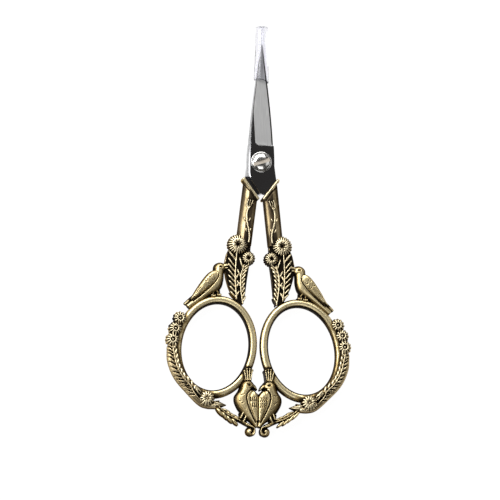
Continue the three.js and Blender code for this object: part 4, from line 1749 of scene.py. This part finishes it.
@dataclass
class HeartBird:
    """The crested bird that makes half of the heart. Body and wing rise by shares of its height."""

    height: float = 2.15
    inner: float = 0.04
    body: Stations = (
        (3.4, -64.4, 1.9, 1.08), (3.4, -65.7, 2.35, 1.1), (3.35, -67.0, 3.3, 1.04), (3.3, -68.4, 3.65, 0.98),
        (2.95, -70.1, 3.2, 0.92), (2.1, -72.2, 2.35, 0.84), (1.05, -74.2, 1.4, 0.74), (0.4, -75.9, 0.6, 0.62),
    )
    head: Point = (3.2, -64.45)
    head_size: Place = (2.15, 1.9, 1.14)
    head_turn: float = -8.0
    beak: Stations = ((2.1, -64.3, 1.05, 1.8), (1.2, -64.65, 0.7, 1.7), (0.5, -65.35, 0.3, 1.45))
    wing: Stations = (
        (1.5, -66.2, 0.85, 0.94), (1.45, -67.0, 1.6, 1.06), (1.4, -68.2, 1.9, 1.1), (1.2, -69.9, 1.65, 1.05),
        (0.8, -72.1, 1.1, 0.95), (0.4, -74.3, 0.4, 0.82),
    )
    crest: Line = ((2.1, -63.3), (4.0, -63.4), (4.35, -60.7), (3.6, -60.1), (1.85, -60.3))
    crest_height: float = 1.6
    crest_foot: Point = (2.45, -62.9)
    crest_step: float = 0.4
    knobs: Line = ((1.9, -60.0), (2.65, -59.7), (3.4, -59.75), (4.15, -60.35))
    knob_size: Place = (0.5, 0.48, 2.3)
    web: Line = ((3.2, -72.2), (5.5, -72.2), (5.2, -74.4), (3.0, -75.3))
    web_height: float = 0.5
    feet: Line = ((4.95, -73.7), (4.15, -74.7))
    leg: Stations = ((-0.7, 1.6, 0.32, 1.45), (-0.3, 0.7, 0.32, 1.5), (0.0, 0.0, 0.34, 1.45))
    lid: Point = (2.95, -64.2)
    lid_size: Point = (0.86, 0.55)
    eye: Line = ((2.7, -64.28), (3.15, -64.14))
    wing_edge: Line = (
        (0.3, -66.3), (0.9, -65.75), (1.7, -65.5), (2.6, -65.85), (3.3, -66.8), (3.5, -68.0), (3.15, -69.7),
        (2.35, -71.6), (1.45, -73.5), (0.75, -74.8),
    )
    throat: Line = ((2.2, -65.35), (1.5, -65.45), (0.85, -65.75))
    feather_rows: tuple[tuple[float, float, int], ...] = ((-67.8, 0.62, 4), (-69.5, 0.6, 3))
    feather_step: float = 0.56
    flecks: Line = ((4.5, -67.0), (5.0, -67.1), (4.6, -69.4), (5.2, -68.9), (3.7, -71.0))
    neck: float = -62.6
    crest_level: float = 1.74
    side_level: float = 0.75
    side_tone: float = 0.95

    def relief(self) -> Relief:
        """Shapes the bird.

        Returns:
            The relief.
        """
        relief = Relief("heart_bird", voxel=0.08, inner=self.inner, ground=self._shaded)
        draft = relief.draft
        draft.bar(raised(self.body, self.height), sides=26, nose=0.5)
        long, wide, share = self.head_size
        draft.bead((*self.head, 0.0), (long, wide, share * self.height), self.head_turn)
        draft.bar(self.beak, sides=16, nose=0.9)
        draft.bar(raised(self.wing, self.height), sides=26, nose=0.5, box=2.5)
        draft.slab(self.crest, -self.crest_height, self.crest_height)
        draft.slab(self.web, -self.web_height, self.web_height)
        for k, (x, y) in enumerate(self.knobs):
            root = (self.crest_foot[0] + self.crest_step * k, self.crest_foot[1])
            middle = (0.45 * root[0] + 0.55 * x, (root[1] + y) / 2)
            draft.bar([(*root, 0.22, 2.05), (*middle, 0.22, 2.1), (x, y, 0.24, 2.1)], sides=16, box=3.2)
            draft.bead((x, y + 0.02, 0.0), self.knob_size)
        for x, y in self.feet:
            draft.bar([(x + along, y + up, half, high) for along, up, half, high in self.leg], box=2.8)
        self._mark(relief)
        return relief

    def _mark(self, relief: Relief) -> None:
        """Cuts the eye, the wing's edge and the feathers.

        Args:
            relief: Where they are cut.
        """
        (x, y), (wide, high) = self.lid, self.lid_size
        turns = np.linspace(0.0, FULL_TURN, 13)
        relief.score(tuple((x + wide * math.cos(t), y + high * math.sin(t)) for t in turns), 0.07, 0.08, 0.4)
        relief.score(self.eye, 0.32, 0.3, 1.0)
        relief.score(self.wing_edge, 0.17, 0.4, 1.0)
        relief.score(self.throat, 0.2, 0.45, 1.0)
        for y, left, count in self.feather_rows:
            for k in range(count):
                x = left + self.feather_step * k
                relief.score(((x, y), (x + 0.1, y - 0.6), (x - 0.12, y - 1.15)), 0.13, 0.2, 0.95)
        for x, y in self.flecks:
            relief.score(((x - 0.2, y), (x, y - 0.16), (x + 0.2, y)), 0.1, 0.1, 0.6)

    def _shaded(self, points: Rows) -> Rows:
        """How dark the sides and the ground of the crest are left, at each point."""
        level = np.where(points[:, 1] > self.neck, self.crest_level, self.side_level)
        return self.side_tone * faded(level + 0.2 - np.abs(points[:, 2]), 0.35)


@dataclass
class Sprig:
    """The leafy sprig from the lower daisy to the scroll that ends a handle."""

    row: LeafRow
    stem: Stations = (
        (12.6, -70.4, 0.55), (11.2, -70.9, 0.45), (9.4, -72.4, 0.42), (7.1, -73.7, 0.42), (5.2, -74.4, 0.5),
        (3.4, -75.2, 0.6), (2.2, -75.75, 0.6),
    )
    stem_height: float = 1.1
    rows: tuple[Leaves, ...] = (
        Leaves(0.24, 3.4, 3.0, 4, 0.06, 0.5, 0.95, 1.8, 0.4),
        Leaves(-0.32, 2.8, 2.3, 4, 0.2, 0.54, 0.8, 1.8, -0.25),
    )
    leaf_level: float = 0.7
    rib: Place = (0.18, 0.4, 1.3)
    ball: Place = (2.15, -77.4, 0.0)
    ball_size: Place = (1.45, 1.45, 1.7)
    hook: Stations = (
        (3.2, -75.3, 0.5, 1.35), (2.1, -75.85, 0.42, 1.5), (1.15, -76.35, 0.38, 1.55),
        (0.85, -77.15, 0.36, 1.5), (1.1, -77.95, 0.42, 1.4), (1.9, -78.3, 0.5, 1.2),
    )
    hole: Line = ((2.4, -76.5), (1.85, -76.6), (1.55, -77.0), (1.58, -77.5), (1.85, -77.8))

    def relief(self) -> Relief:
        """Shapes the sprig and the scroll.

        Returns:
            The relief.
        """
        relief = Relief("sprig", voxel=0.08)
        draft = relief.draft
        line = [station[:2] for station in self.stem]
        draft.bar([(*station, self.stem_height) for station in self.stem])
        path = spline(line, 6)
        for leaves in self.rows:
            draft.add_mesh(self.row.beside(path, self.leaf_level, leaves))
        draft.bar([(*spot, *self.rib) for spot in line[1:5]], sides=10)
        draft.bead(self.ball, self.ball_size)
        draft.bar(self.hook)
        relief.score(self.hole, 0.25, 0.9, 1.0)
        return relief


@dataclass
class Handle:
    """Both handles: the ornaments cast on the right one, and the same turned over on the left."""

    finish: Material
    dulled: Material
    dull: tuple[str, ...] = ("shank", "fern", "rim_garland")
    bow: BowLine = BowLine()
    bow_steps: int = 400
    bow_sides: int = 48
    bow_inside: Line = ((-95.0, 1.0), (-70.0, 0.48), (45.0, 0.48), (65.0, 1.0))
    bow_outer_side_shade: Line = ((-100.0, 0.0), (-85.0, 0.9), (30.0, 0.9), (40.0, 0.0))

    def build(self) -> list[Object]:
        """Casts the handles, lays their patina and painted shade, and dresses them.

        Returns:
            The pieces of both.
        """
        ring = PetalRing(self.finish)
        row = LeafRow(self.finish)
        reliefs = [
            Shank().relief(),
            Fern(ring, row).relief(),
            RimGarland(self.bow, ring, row).relief(),
            PerchedBird().relief(),
            HeartBird().relief(),
            Sprig(row).relief(),
        ]
        meshes = [self._bow(), *(relief.cast() for relief in reliefs)]
        PatinaAndShade().lay(meshes)
        pieces = []
        for half in Half:
            for mesh in meshes:
                turned = mesh.copy()
                turned.transform(half.matrix)
                finish = self.dulled if mesh.name in self.dull else self.finish
                piece = dressed(f"{half.side}_{mesh.name}", turned, [finish], half.body)
                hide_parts(f"{half.side}_handle")
                pieces.append(piece)
        return pieces

    def _bow(self) -> Mesh:
        """Makes the bare finger bow, with painted shade on its inner wall and on its outer side beside the
        ornaments.

        Returns:
            The mesh, with the painted shade laid on it.
        """
        angles = np.linspace(0.0, 360.0, self.bow_steps, endpoint=False)
        line = line_mesh(np.array([(*self.bow.point(angle), 0.0) for angle in angles]), True)
        mesh = RoundBar(self.finish).mesh(line, Width=self.bow.bar, Height=2 * self.bow.height,
                                          Sides=self.bow_sides)
        mesh.name = "bow"
        inward = np.asarray(self.bow.centre) - places(mesh)[:, :2]
        inward /= np.linalg.norm(inward, axis=1)[:, None]
        facing = np.einsum("ij,ij->i", normals(mesh)[:, :2], inward)
        turn = np.degrees(np.arctan2(-inward[:, 1], -inward[:, 0]))
        # Painted shade on the inner wall and on the outer side by the garland
        inner = faded(facing - 0.45, 0.3) * graded(turn, self.bow_inside)
        outer = faded(0.1 - facing, 0.25) * graded(turn, self.bow_outer_side_shade)
        lay_values(mesh, CUTS_AND_SHADE, np.maximum(inner, outer))
        return mesh


# The steel and the guard


@dataclass
class Blade:
    """A blade with its spine chamfer, ground bevel and tang."""

    polished: Material
    ground: Material
    reach: float = 34.45
    width: float = 7.3
    overlap: float = 0.3
    taper: float = 1.5
    thickness: float = 1.5
    point_thickness: float = 0.55
    edge_thickness: float = 0.15
    tip_shares: Place = (0.1, 0.0, 0.2)
    chamfer: float = 0.3
    chamfer_drop: float = 0.7
    gap: float = 0.1
    bevel_start: float = 4.85
    bevel_cove: float = 0.5
    bevel_line: float = 1.7
    bevel_lean: float = 0.06
    bevel_slope: float = 0.21
    bevel_corner: float = 1.3
    bevel_least: float = 0.02
    bevel_side: int = 3
    strip: float = 0.48
    strip_most: float = 0.3
    strip_slope: float = 0.66
    shoulder: float = 4.0
    fillet: float = 1.2
    flat_start: float = 4.3
    flat_side: int = 6
    flare: float = 1.0
    foot: float = -9.1
    outer_stop: Point = (4.38, -4.97)
    inner_stop: Point = (0.48, -10.23)
    tang: tuple[Point, Point] = ((2.4, -4.5), (3.93, -17.8))
    tang_width: float = 2.4
    tang_faces: Point = (0.1, 1.0)
    bore: float = 3.1
    bore_reach: float = 4.0
    bore_sides: int = 96
    sharp: float = 5.0

    def build(self) -> list[Object]:
        """Makes both blades.

        Returns:
            The two pieces.
        """
        pieces = []
        mesh = joined(carved(self._blank(), self._drill()), self._tang())
        for half in Half:
            turned = mesh.copy()
            turned.transform(half.matrix)
            finishes = [self.polished, self.ground]
            piece = dressed(half.blade, turned, finishes, half.body, self.sharp)
            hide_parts(half.blade)
            pieces.append(piece)
        return pieces

    def half_width(self, y: float, side: int) -> float:
        """Half the blade's width on its spine, -1, or its edge, 1."""
        share = 1.0 - max(y / self.reach, 0.0) ** self.taper
        return share * (self.width + side * self.overlap) / 2

    def _sides(self, y: float) -> Point:
        """Finds where the blade's sides lie.

        Args:
            y: A height above the pivot.

        Returns:
            Its left and right sides there.
        """
        left = -self.half_width(y, -1)
        right = self.half_width(y, 1)
        below = -self.shoulder - y
        if below > -self.fillet:
            fall = below if below > self.fillet else (below + self.fillet) ** 2 / (4 * self.fillet)
            left -= (self.inner_stop[0] - left) * fall / (self.inner_stop[1] + self.shoulder)
        if y < self.outer_stop[1]:
            share = (y - self.outer_stop[1]) / (self.inner_stop[1] - self.outer_stop[1])
            right = self.outer_stop[0] + (self.inner_stop[0] - self.outer_stop[0]) * share
        elif y < -self.flare:
            right += (self.outer_stop[0] - right) * (y + self.flare) / (self.outer_stop[1] + self.flare)
        return left, right

    def _section(self, y: float) -> list[Place]:
        """Works out a section, round from the spine over the top.

        Args:
            y: A height above the pivot.

        Returns:
            Its corners.
        """
        left, right = self._sides(y)
        share = max(y, 0.0) / self.reach
        thick = self.thickness + (self.point_thickness - self.thickness) * share
        narrowed = min(self.half_width(y, -1) / self.half_width(0.0, -1), 1.0)
        cut = min(self.chamfer * narrowed, (right - left) / 3)
        rise = min(max((y - self.bevel_start) / self.bevel_cove, 0.0), 1.0)
        turn = min(max((self.bevel_start + self.bevel_corner - y) / self.bevel_corner, 0.0), 1.0)
        inset = self.bevel_corner * (1.0 - math.sqrt(1.0 - turn * turn))
        lean = self.bevel_lean * max(y - self.bevel_start, 0.0)
        line = min(max(inset - self.bevel_line - lean, left + cut), right - self.bevel_least * (right - left))
        strip = min(self.strip, self.strip_most * (right - line)) * rise
        room = thick - self.edge_thickness - self.strip_slope * strip
        fall = min(self.bevel_slope * (right - strip - line), room)
        upper = thick - fall * math.sin(rise * math.pi / 2)
        edge = max(upper - self.strip_slope * strip, self.edge_thickness)
        low = self.gap / 2
        loop = [
            (left, 0.0), (left, thick - self.chamfer_drop * cut), (left + cut, thick), (line, thick),
            (right - strip, upper), (right, edge), (right, 0.0),
        ]
        return [(x, y, low + z) for x, z in loop]

    def _blank(self) -> Mesh:
        """Makes the front blade with neither bore nor tang.

        Returns:
            The mesh, its bevel and inner flat in the second finish.
        """
        start = self.bevel_start
        heights = [
            *np.linspace(self.foot, -self.shoulder - self.fillet, 6), self.outer_stop[1],
            *np.linspace(-self.shoulder - self.fillet / 2, self.fillet - self.shoulder, 7), -self.flare,
            *np.linspace(0.0, start, 4), *(start + self.bevel_cove * np.linspace(0.1, 1.0, 8)),
            *np.linspace(start + self.bevel_cove + 0.15, start + self.bevel_corner, 5),
            *np.linspace(start + 2.0, self.reach - 0.3, 36),
        ]
        rings = np.array([self._section(y) for y in heights])
        tip = rings[-1] * self.tip_shares + [0.0, self.reach, self.gap / 2]
        draft = Draft()
        draft.loft(np.concatenate([rings, tip[None]]))
        mesh = draft.mesh("blade")
        mesh.materials.append(self.polished)
        mesh.materials.append(self.ground)
        first = heights.index(start)
        for polygon in mesh.polygons:
            row, side = divmod(polygon.index, rings.shape[1])
            bevel = side == self.bevel_side and row >= first
            inner_flat = side == self.flat_side and heights[min(row, len(heights) - 1)] > -self.flat_start
            polygon.material_index = 1 if bevel or inner_flat else 0
        return mesh

    def _drill(self) -> Mesh:
        """Makes the cutter for the bore.

        Returns:
            The mesh.
        """
        turns = turns_round(self.bore_sides)
        flat = np.column_stack([np.cos(turns), np.sin(turns)]) * self.bore / 2
        ends = (-self.bore_reach, self.bore_reach)
        draft = Draft()
        draft.loft(np.stack([np.column_stack([flat, np.full(len(flat), z)]) for z in ends]))
        return draft.mesh("drill")

    def _tang(self) -> Mesh:
        """Makes the tang that the handle is cast on.

        Returns:
            The mesh.
        """
        top, end = np.array(self.tang)
        run = end - top
        across = np.array([-run[1], run[0]]) / np.linalg.norm(run) * self.tang_width / 2
        outline = [tuple(p) for p in (top - across, end - across, end + across, top + across)]
        draft = Draft()
        draft.slab(outline, *(self.gap / 2 + face for face in self.tang_faces))
        return draft.mesh("tang")


@dataclass
class PivotScrew:
    """The slotted screw with its domed head."""

    finish: Material
    shade_and_grime: Material
    filed: Material
    shank: float = 1.5
    head: float = 2.95
    tail: float = -1.55
    tail_bevel: float = 0.12
    seat: float = 1.6
    seat_bevel: float = 0.08
    rim: float = 0.35
    rim_steps: Line = ((0.0, -0.14), (-0.05, -0.04), (-0.16, 0.0), (-0.36, -0.02), (-0.44, 0.05))
    dome: float = 0.75
    dome_steps: int = 13
    core: float = 0.004
    slot_width: float = 1.2
    slot_depth: float = 0.55
    slot_angle: float = 20.0
    slot_reach: float = 6.0
    slot_clear: float = 1.0
    close: float = 0.01
    sides: int = 96
    sharp: float = 28.0

    def build(self) -> list[Object]:
        """Makes the screw.

        Returns:
            The one piece.
        """
        turns = turns_round(self.sides)
        draft = Draft()
        draft.loft(np.array([
            [(max(r, self.core) * math.cos(t), max(r, self.core) * math.sin(t), z) for t in turns]
            for r, z in self._profile()
        ]))
        finishes = [self.finish, self.shade_and_grime, self.filed]
        mesh = carved(draft.mesh("pivot_screw"), self._slot())
        for finish in finishes:
            mesh.materials.append(finish)
        angle = math.radians(self.slot_angle)
        across = Vector((-math.sin(angle), math.cos(angle), 0.0))
        half = self.slot_width / 2
        floor = self._top() - self.slot_depth
        for polygon in mesh.polygons:
            middle = polygon.center
            wall = abs(polygon.normal.dot(across)) > 0.9 and abs(abs(middle.dot(across)) - half) < self.close
            bed = polygon.normal.z > 0.99 and abs(middle.z - floor) < self.close
            # Slot walls get the painted shade and grime, the slot's bed the filed finish
            polygon.material_index = 1 if wall else 2 if bed else 0
        mesh.transform(Half.RIGHT.matrix)
        piece = dressed("pivot_screw", mesh, finishes, Half.LEFT.body, self.sharp)
        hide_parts("pivot_screw")
        return [piece]

    def _top(self) -> float:
        """The height of the dome's top."""
        return self.seat + self.rim + self.dome

    def _profile(self) -> list[Point]:
        """Works out the screw's profile, from the tail up.

        Returns:
            Radii and heights.
        """
        rim = self.seat + self.rim
        profile = [
            (0.0, self.tail), (self.shank - self.tail_bevel, self.tail),
            (self.shank, self.tail + self.tail_bevel), (self.shank, self.seat),
            (self.head - self.seat_bevel, self.seat), (self.head, self.seat + self.seat_bevel),
            *((self.head + out, rim + up) for out, up in self.rim_steps),
        ]
        radius, level = profile[-1]
        for k in range(1, self.dome_steps + 1):
            turn = k / self.dome_steps * math.pi / 2
            profile.append((radius * math.cos(turn), level + (self._top() - level) * math.sin(turn)))
        return profile

    def _slot(self) -> Mesh:
        """Makes the cutter for the slot.

        Returns:
            The mesh.
        """
        half = self.slot_width / 2
        reach = self.slot_reach
        top = self._top()
        cutter = Draft()
        cutter.slab([(-reach, -half), (reach, -half), (reach, half), (-reach, half)],
                    top - self.slot_depth, top + self.slot_clear)
        blank = cutter.mesh("slot")
        blank.transform(Matrix.Rotation(math.radians(self.slot_angle), 4, "Z"))
        return blank


@dataclass
class PointGuard:
    """The clear tube over the points, stretched to the blades at its mouth."""

    finish: Material
    mouth: float = 23.15
    mouth_run: float = 2.0
    mouth_edge: float = 0.05
    points: float = 34.45
    points_run: float = 3.0
    points_clear: float = 0.4
    length: float = 16.15
    mouth_wide: float = 1.88
    mouth_high: float = 1.3
    wall: float = 0.22
    free_radius: float = 1.8
    swell: float = 0.08
    ease: float = 0.06
    bore: float = 0.75
    bore_edge: float = 0.05
    slant: float = 0.8
    arc: float = 0.35
    free_end_shade: float = 0.5
    rim: float = 0.3
    sides: int = 48
    steps: int = 5
    end_rings: int = 4
    sharp: float = 40.0

    def build(self) -> list[Object]:
        """Makes the guard.

        Returns:
            The one piece.
        """
        draft = Draft()
        skin = self._rings(self._skin())
        rings = np.concatenate([skin, self._rings(self._inside())])
        draft.loft(rings, True)
        mesh = draft.mesh("tip_guard")
        # Painted shade at the cut ends: full at the mouth, half round the free end
        cut = np.zeros(len(rings))
        cut[[0, -1]] = 1.0
        cut[len(skin) - self.end_rings:len(skin) + self.end_rings] = self.free_end_shade
        lay_values(mesh, CUT_END_SHADE, np.repeat(cut, self.sides))
        mesh.transform(Half.RIGHT.matrix)
        piece = dressed("tip_guard", mesh, [self.finish], "tip_guard", self.sharp)
        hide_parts("tip_guard")
        return [piece]

    def _skin(self) -> list[Place]:
        """Works out the tube's outside, from the mouth to the free end.

        Returns:
            Rows of place along it, half width and half height.
        """
        end = self.mouth + self.length
        wide = self.mouth_wide + self.wall
        high = self.mouth_high + self.wall
        radius = self.free_radius
        return [
            (self.mouth + self.mouth_edge, wide, high),
            (self.mouth + self.mouth_run, wide, high + self.swell),
            (self.points - self.points_run, radius + self.ease, radius - self.swell),
            (self.points, radius, radius),
            (end - self.rim, radius, radius),
            (end, radius - self.ease, radius - self.ease),
        ]

    def _inside(self) -> list[Place]:
        """Works out the tube's bore, from the free end to the mouth.

        Returns:
            Rows of place along it, half width and half height.
        """
        end = self.mouth + self.length
        bore = self.bore
        wide, high = self.mouth_wide, self.mouth_high
        return [
            (end, bore + self.bore_edge, bore + self.bore_edge),
            (end - self.rim, bore, bore),
            (self.points + self.points_clear, bore, bore),
            (self.points - self.points_run, 0.3 * wide + 0.7 * bore, 0.3 * high + 0.7 * bore),
            (self.mouth + self.mouth_run, 0.84 * wide + 0.16 * bore, high),
            (self.mouth, wide, high),
        ]

    def _rings(self, rows: Sequence[Place]) -> Rows:
        """Makes rings of the tube, aslant and arched near its mouth.

        Args:
            rows: Place along it, half width and half height.

        Returns:
            The rings.
        """
        turns = turns_round(self.sides)
        steps = np.linspace(0, len(rows) - 1, self.steps * (len(rows) - 1) + 1)
        values = [np.interp(steps, range(len(rows)), column) for column in zip(*rows)]
        rings = []
        for y, wide, high in zip(*values):
            fade = max(0.0, 1.0 - (y - self.mouth) / self.mouth_run)
            tilt = fade * (self.slant * (1.0 - np.cos(turns)) / 2 + self.arc * np.sin(turns) ** 2)
            rings.append(np.column_stack([wide * np.cos(turns), y + tilt, high * np.sin(turns)]))
        return np.array(rings)


# The studio


@dataclass
class Softbox:
    """A flat light: where it hangs, its width and height, and its brightness."""

    name: str
    place: Place
    wide: float
    high: float
    radiance: float

    def hang(self, target: Vector) -> None:
        """Hangs the light.

        Args:
            target: What it is hung about and turned to.
        """
        light = bpy.data.lights.new(self.name, "AREA")
        light.shape = "RECTANGLE"
        light.size = self.wide
        light.size_y = self.high
        light.energy = self.radiance * math.pi * self.wide * self.high
        lamp = placed(self.name, light)
        lamp.location = target + Vector(self.place)
        lamp.rotation_mode = "QUATERNION"
        lamp.rotation_quaternion = (target - lamp.location).to_track_quat("-Z", "Y")
        lamp.visible_camera = False


@dataclass
class Studio:
    """The camera, the pale floor and the lights."""

    aim: Place = (-0.002654, -0.02514, 0.00155)
    right: Place = (0.9824, 0.0115, 0.18675)
    up: Place = (-0.0487, 0.9817, 0.18775)
    span: float = 0.1413
    lens: float = 1000.0
    sensor: float = 36.0
    sight: float = 50.0
    air: Colour = (1.0, 0.94, 0.9, 1.0)
    air_strength: float = 0.045
    floor: float = 3.0
    floor_dark: Colour = (0.1, 0.1, 0.1, 1.0)
    floor_light: Colour = (0.12, 0.12, 0.12, 1.0)
    floor_grain: float = 60.0
    floor_rough: float = 0.9
    floor_glow: Colour = (1.0, 1.0, 1.0, 1.0)
    floor_glow_strength: float = 0.96
    boxes: tuple[Softbox, ...] = (
        Softbox("key_softbox", (-0.46, 0.42, 0.78), 0.5, 0.42, 4.9),
        Softbox("left_softbox", (-0.8, 0.05, 0.5), 0.5, 0.7, 3.8),
        Softbox("right_softbox", (0.66, 0.22, 0.74), 0.55, 0.55, 0.62),
        Softbox("back_softbox", (-0.06, 0.73, 0.68), 1.0, 0.45, 4.0),
        Softbox("front_softbox", (0.04, -0.42, 0.9), 0.5, 0.5, 1.4),
    )

    def build(self) -> None:
        """Sets up the studio."""
        self._camera()
        scene = bpy.context.scene
        scene.view_settings.view_transform = "Standard"
        target = Vector(self.aim)
        for box in self.boxes:
            box.hang(target)
        world = bpy.data.worlds.new("studio")
        world.use_nodes = True
        shade = world.node_tree.nodes["Background"].inputs
        shade["Color"].default_value = self.air
        shade["Strength"].default_value = self.air_strength
        scene.world = world
        self._floor()

    def _camera(self) -> None:
        """Adds the camera at the photograph's angle."""
        right = Vector(self.right).normalized()
        back = right.cross(Vector(self.up)).normalized()
        up = back.cross(right)
        camera = bpy.data.cameras.new("camera")
        camera.lens = self.lens
        camera.sensor_width = self.sensor
        camera.clip_end = self.sight
        holder = placed("camera", camera)
        place = Vector(self.aim) + back * (self.span * self.lens / self.sensor)
        turn = Matrix((right, up, back)).transposed().to_4x4()
        holder.matrix_world = Matrix.Translation(place) @ turn
        bpy.context.scene.camera = holder

    def _floor(self) -> None:
        """Lays the floor under the lowest point."""
        level = CAD_BOX[0][2]
        half = self.floor / 2
        mesh = bpy.data.meshes.new("floor")
        corners = [(-half, -half), (half, -half), (half, half), (-half, half)]
        mesh.from_pydata([(x, y, level) for x, y in corners], [], [(0, 1, 2, 3)])
        graph = Graph("pale_floor")
        grain = graph.noise(self.floor_grain)
        mesh.materials.append(graph.surface({
            "Base Color": graph.ramp(grain, (0.0, self.floor_dark), (1.0, self.floor_light)),
            "Roughness": self.floor_rough,
            "Emission Color": self.floor_glow,
            "Emission Strength": self.floor_glow_strength,
        }))
        piece = placed("floor", mesh)


def main() -> None:
    """Builds the studio and the scissors, and reports each piece."""
    logging.basicConfig(level=logging.INFO, format="%(name)s %(message)s")
    Studio().build()
    pieces = Blade(PolishedSteel().material(), GroundSteel().material()).build()
    filed = GroundSteel("filed_slot", (0.86, 0.79, 0.7, 1.0), (0.66, 0.58, 0.48, 1.0),
                        stretch=(1.0, 6.0, 1.0))
    pieces += PivotScrew(BrightNickel().material(), SlotShadeAndGrime().material(), filed.material()).build()
    pieces += PointGuard(ClearVinyl().material()).build()
    dulled = AntiqueBrass("dulled_brass", (0.96, 0.84, 0.56, 1.0), (0.55, 0.43, 0.235, 1.0),
                          (0.115, 0.085, 0.05, 1.0))
    pieces += Handle(AntiqueBrass().material(), dulled.material()).build()
    for piece in pieces:
        LOG.info("%s: %d faces", piece.name, len(piece.data.polygons))


if __name__ == "__main__":
    main()
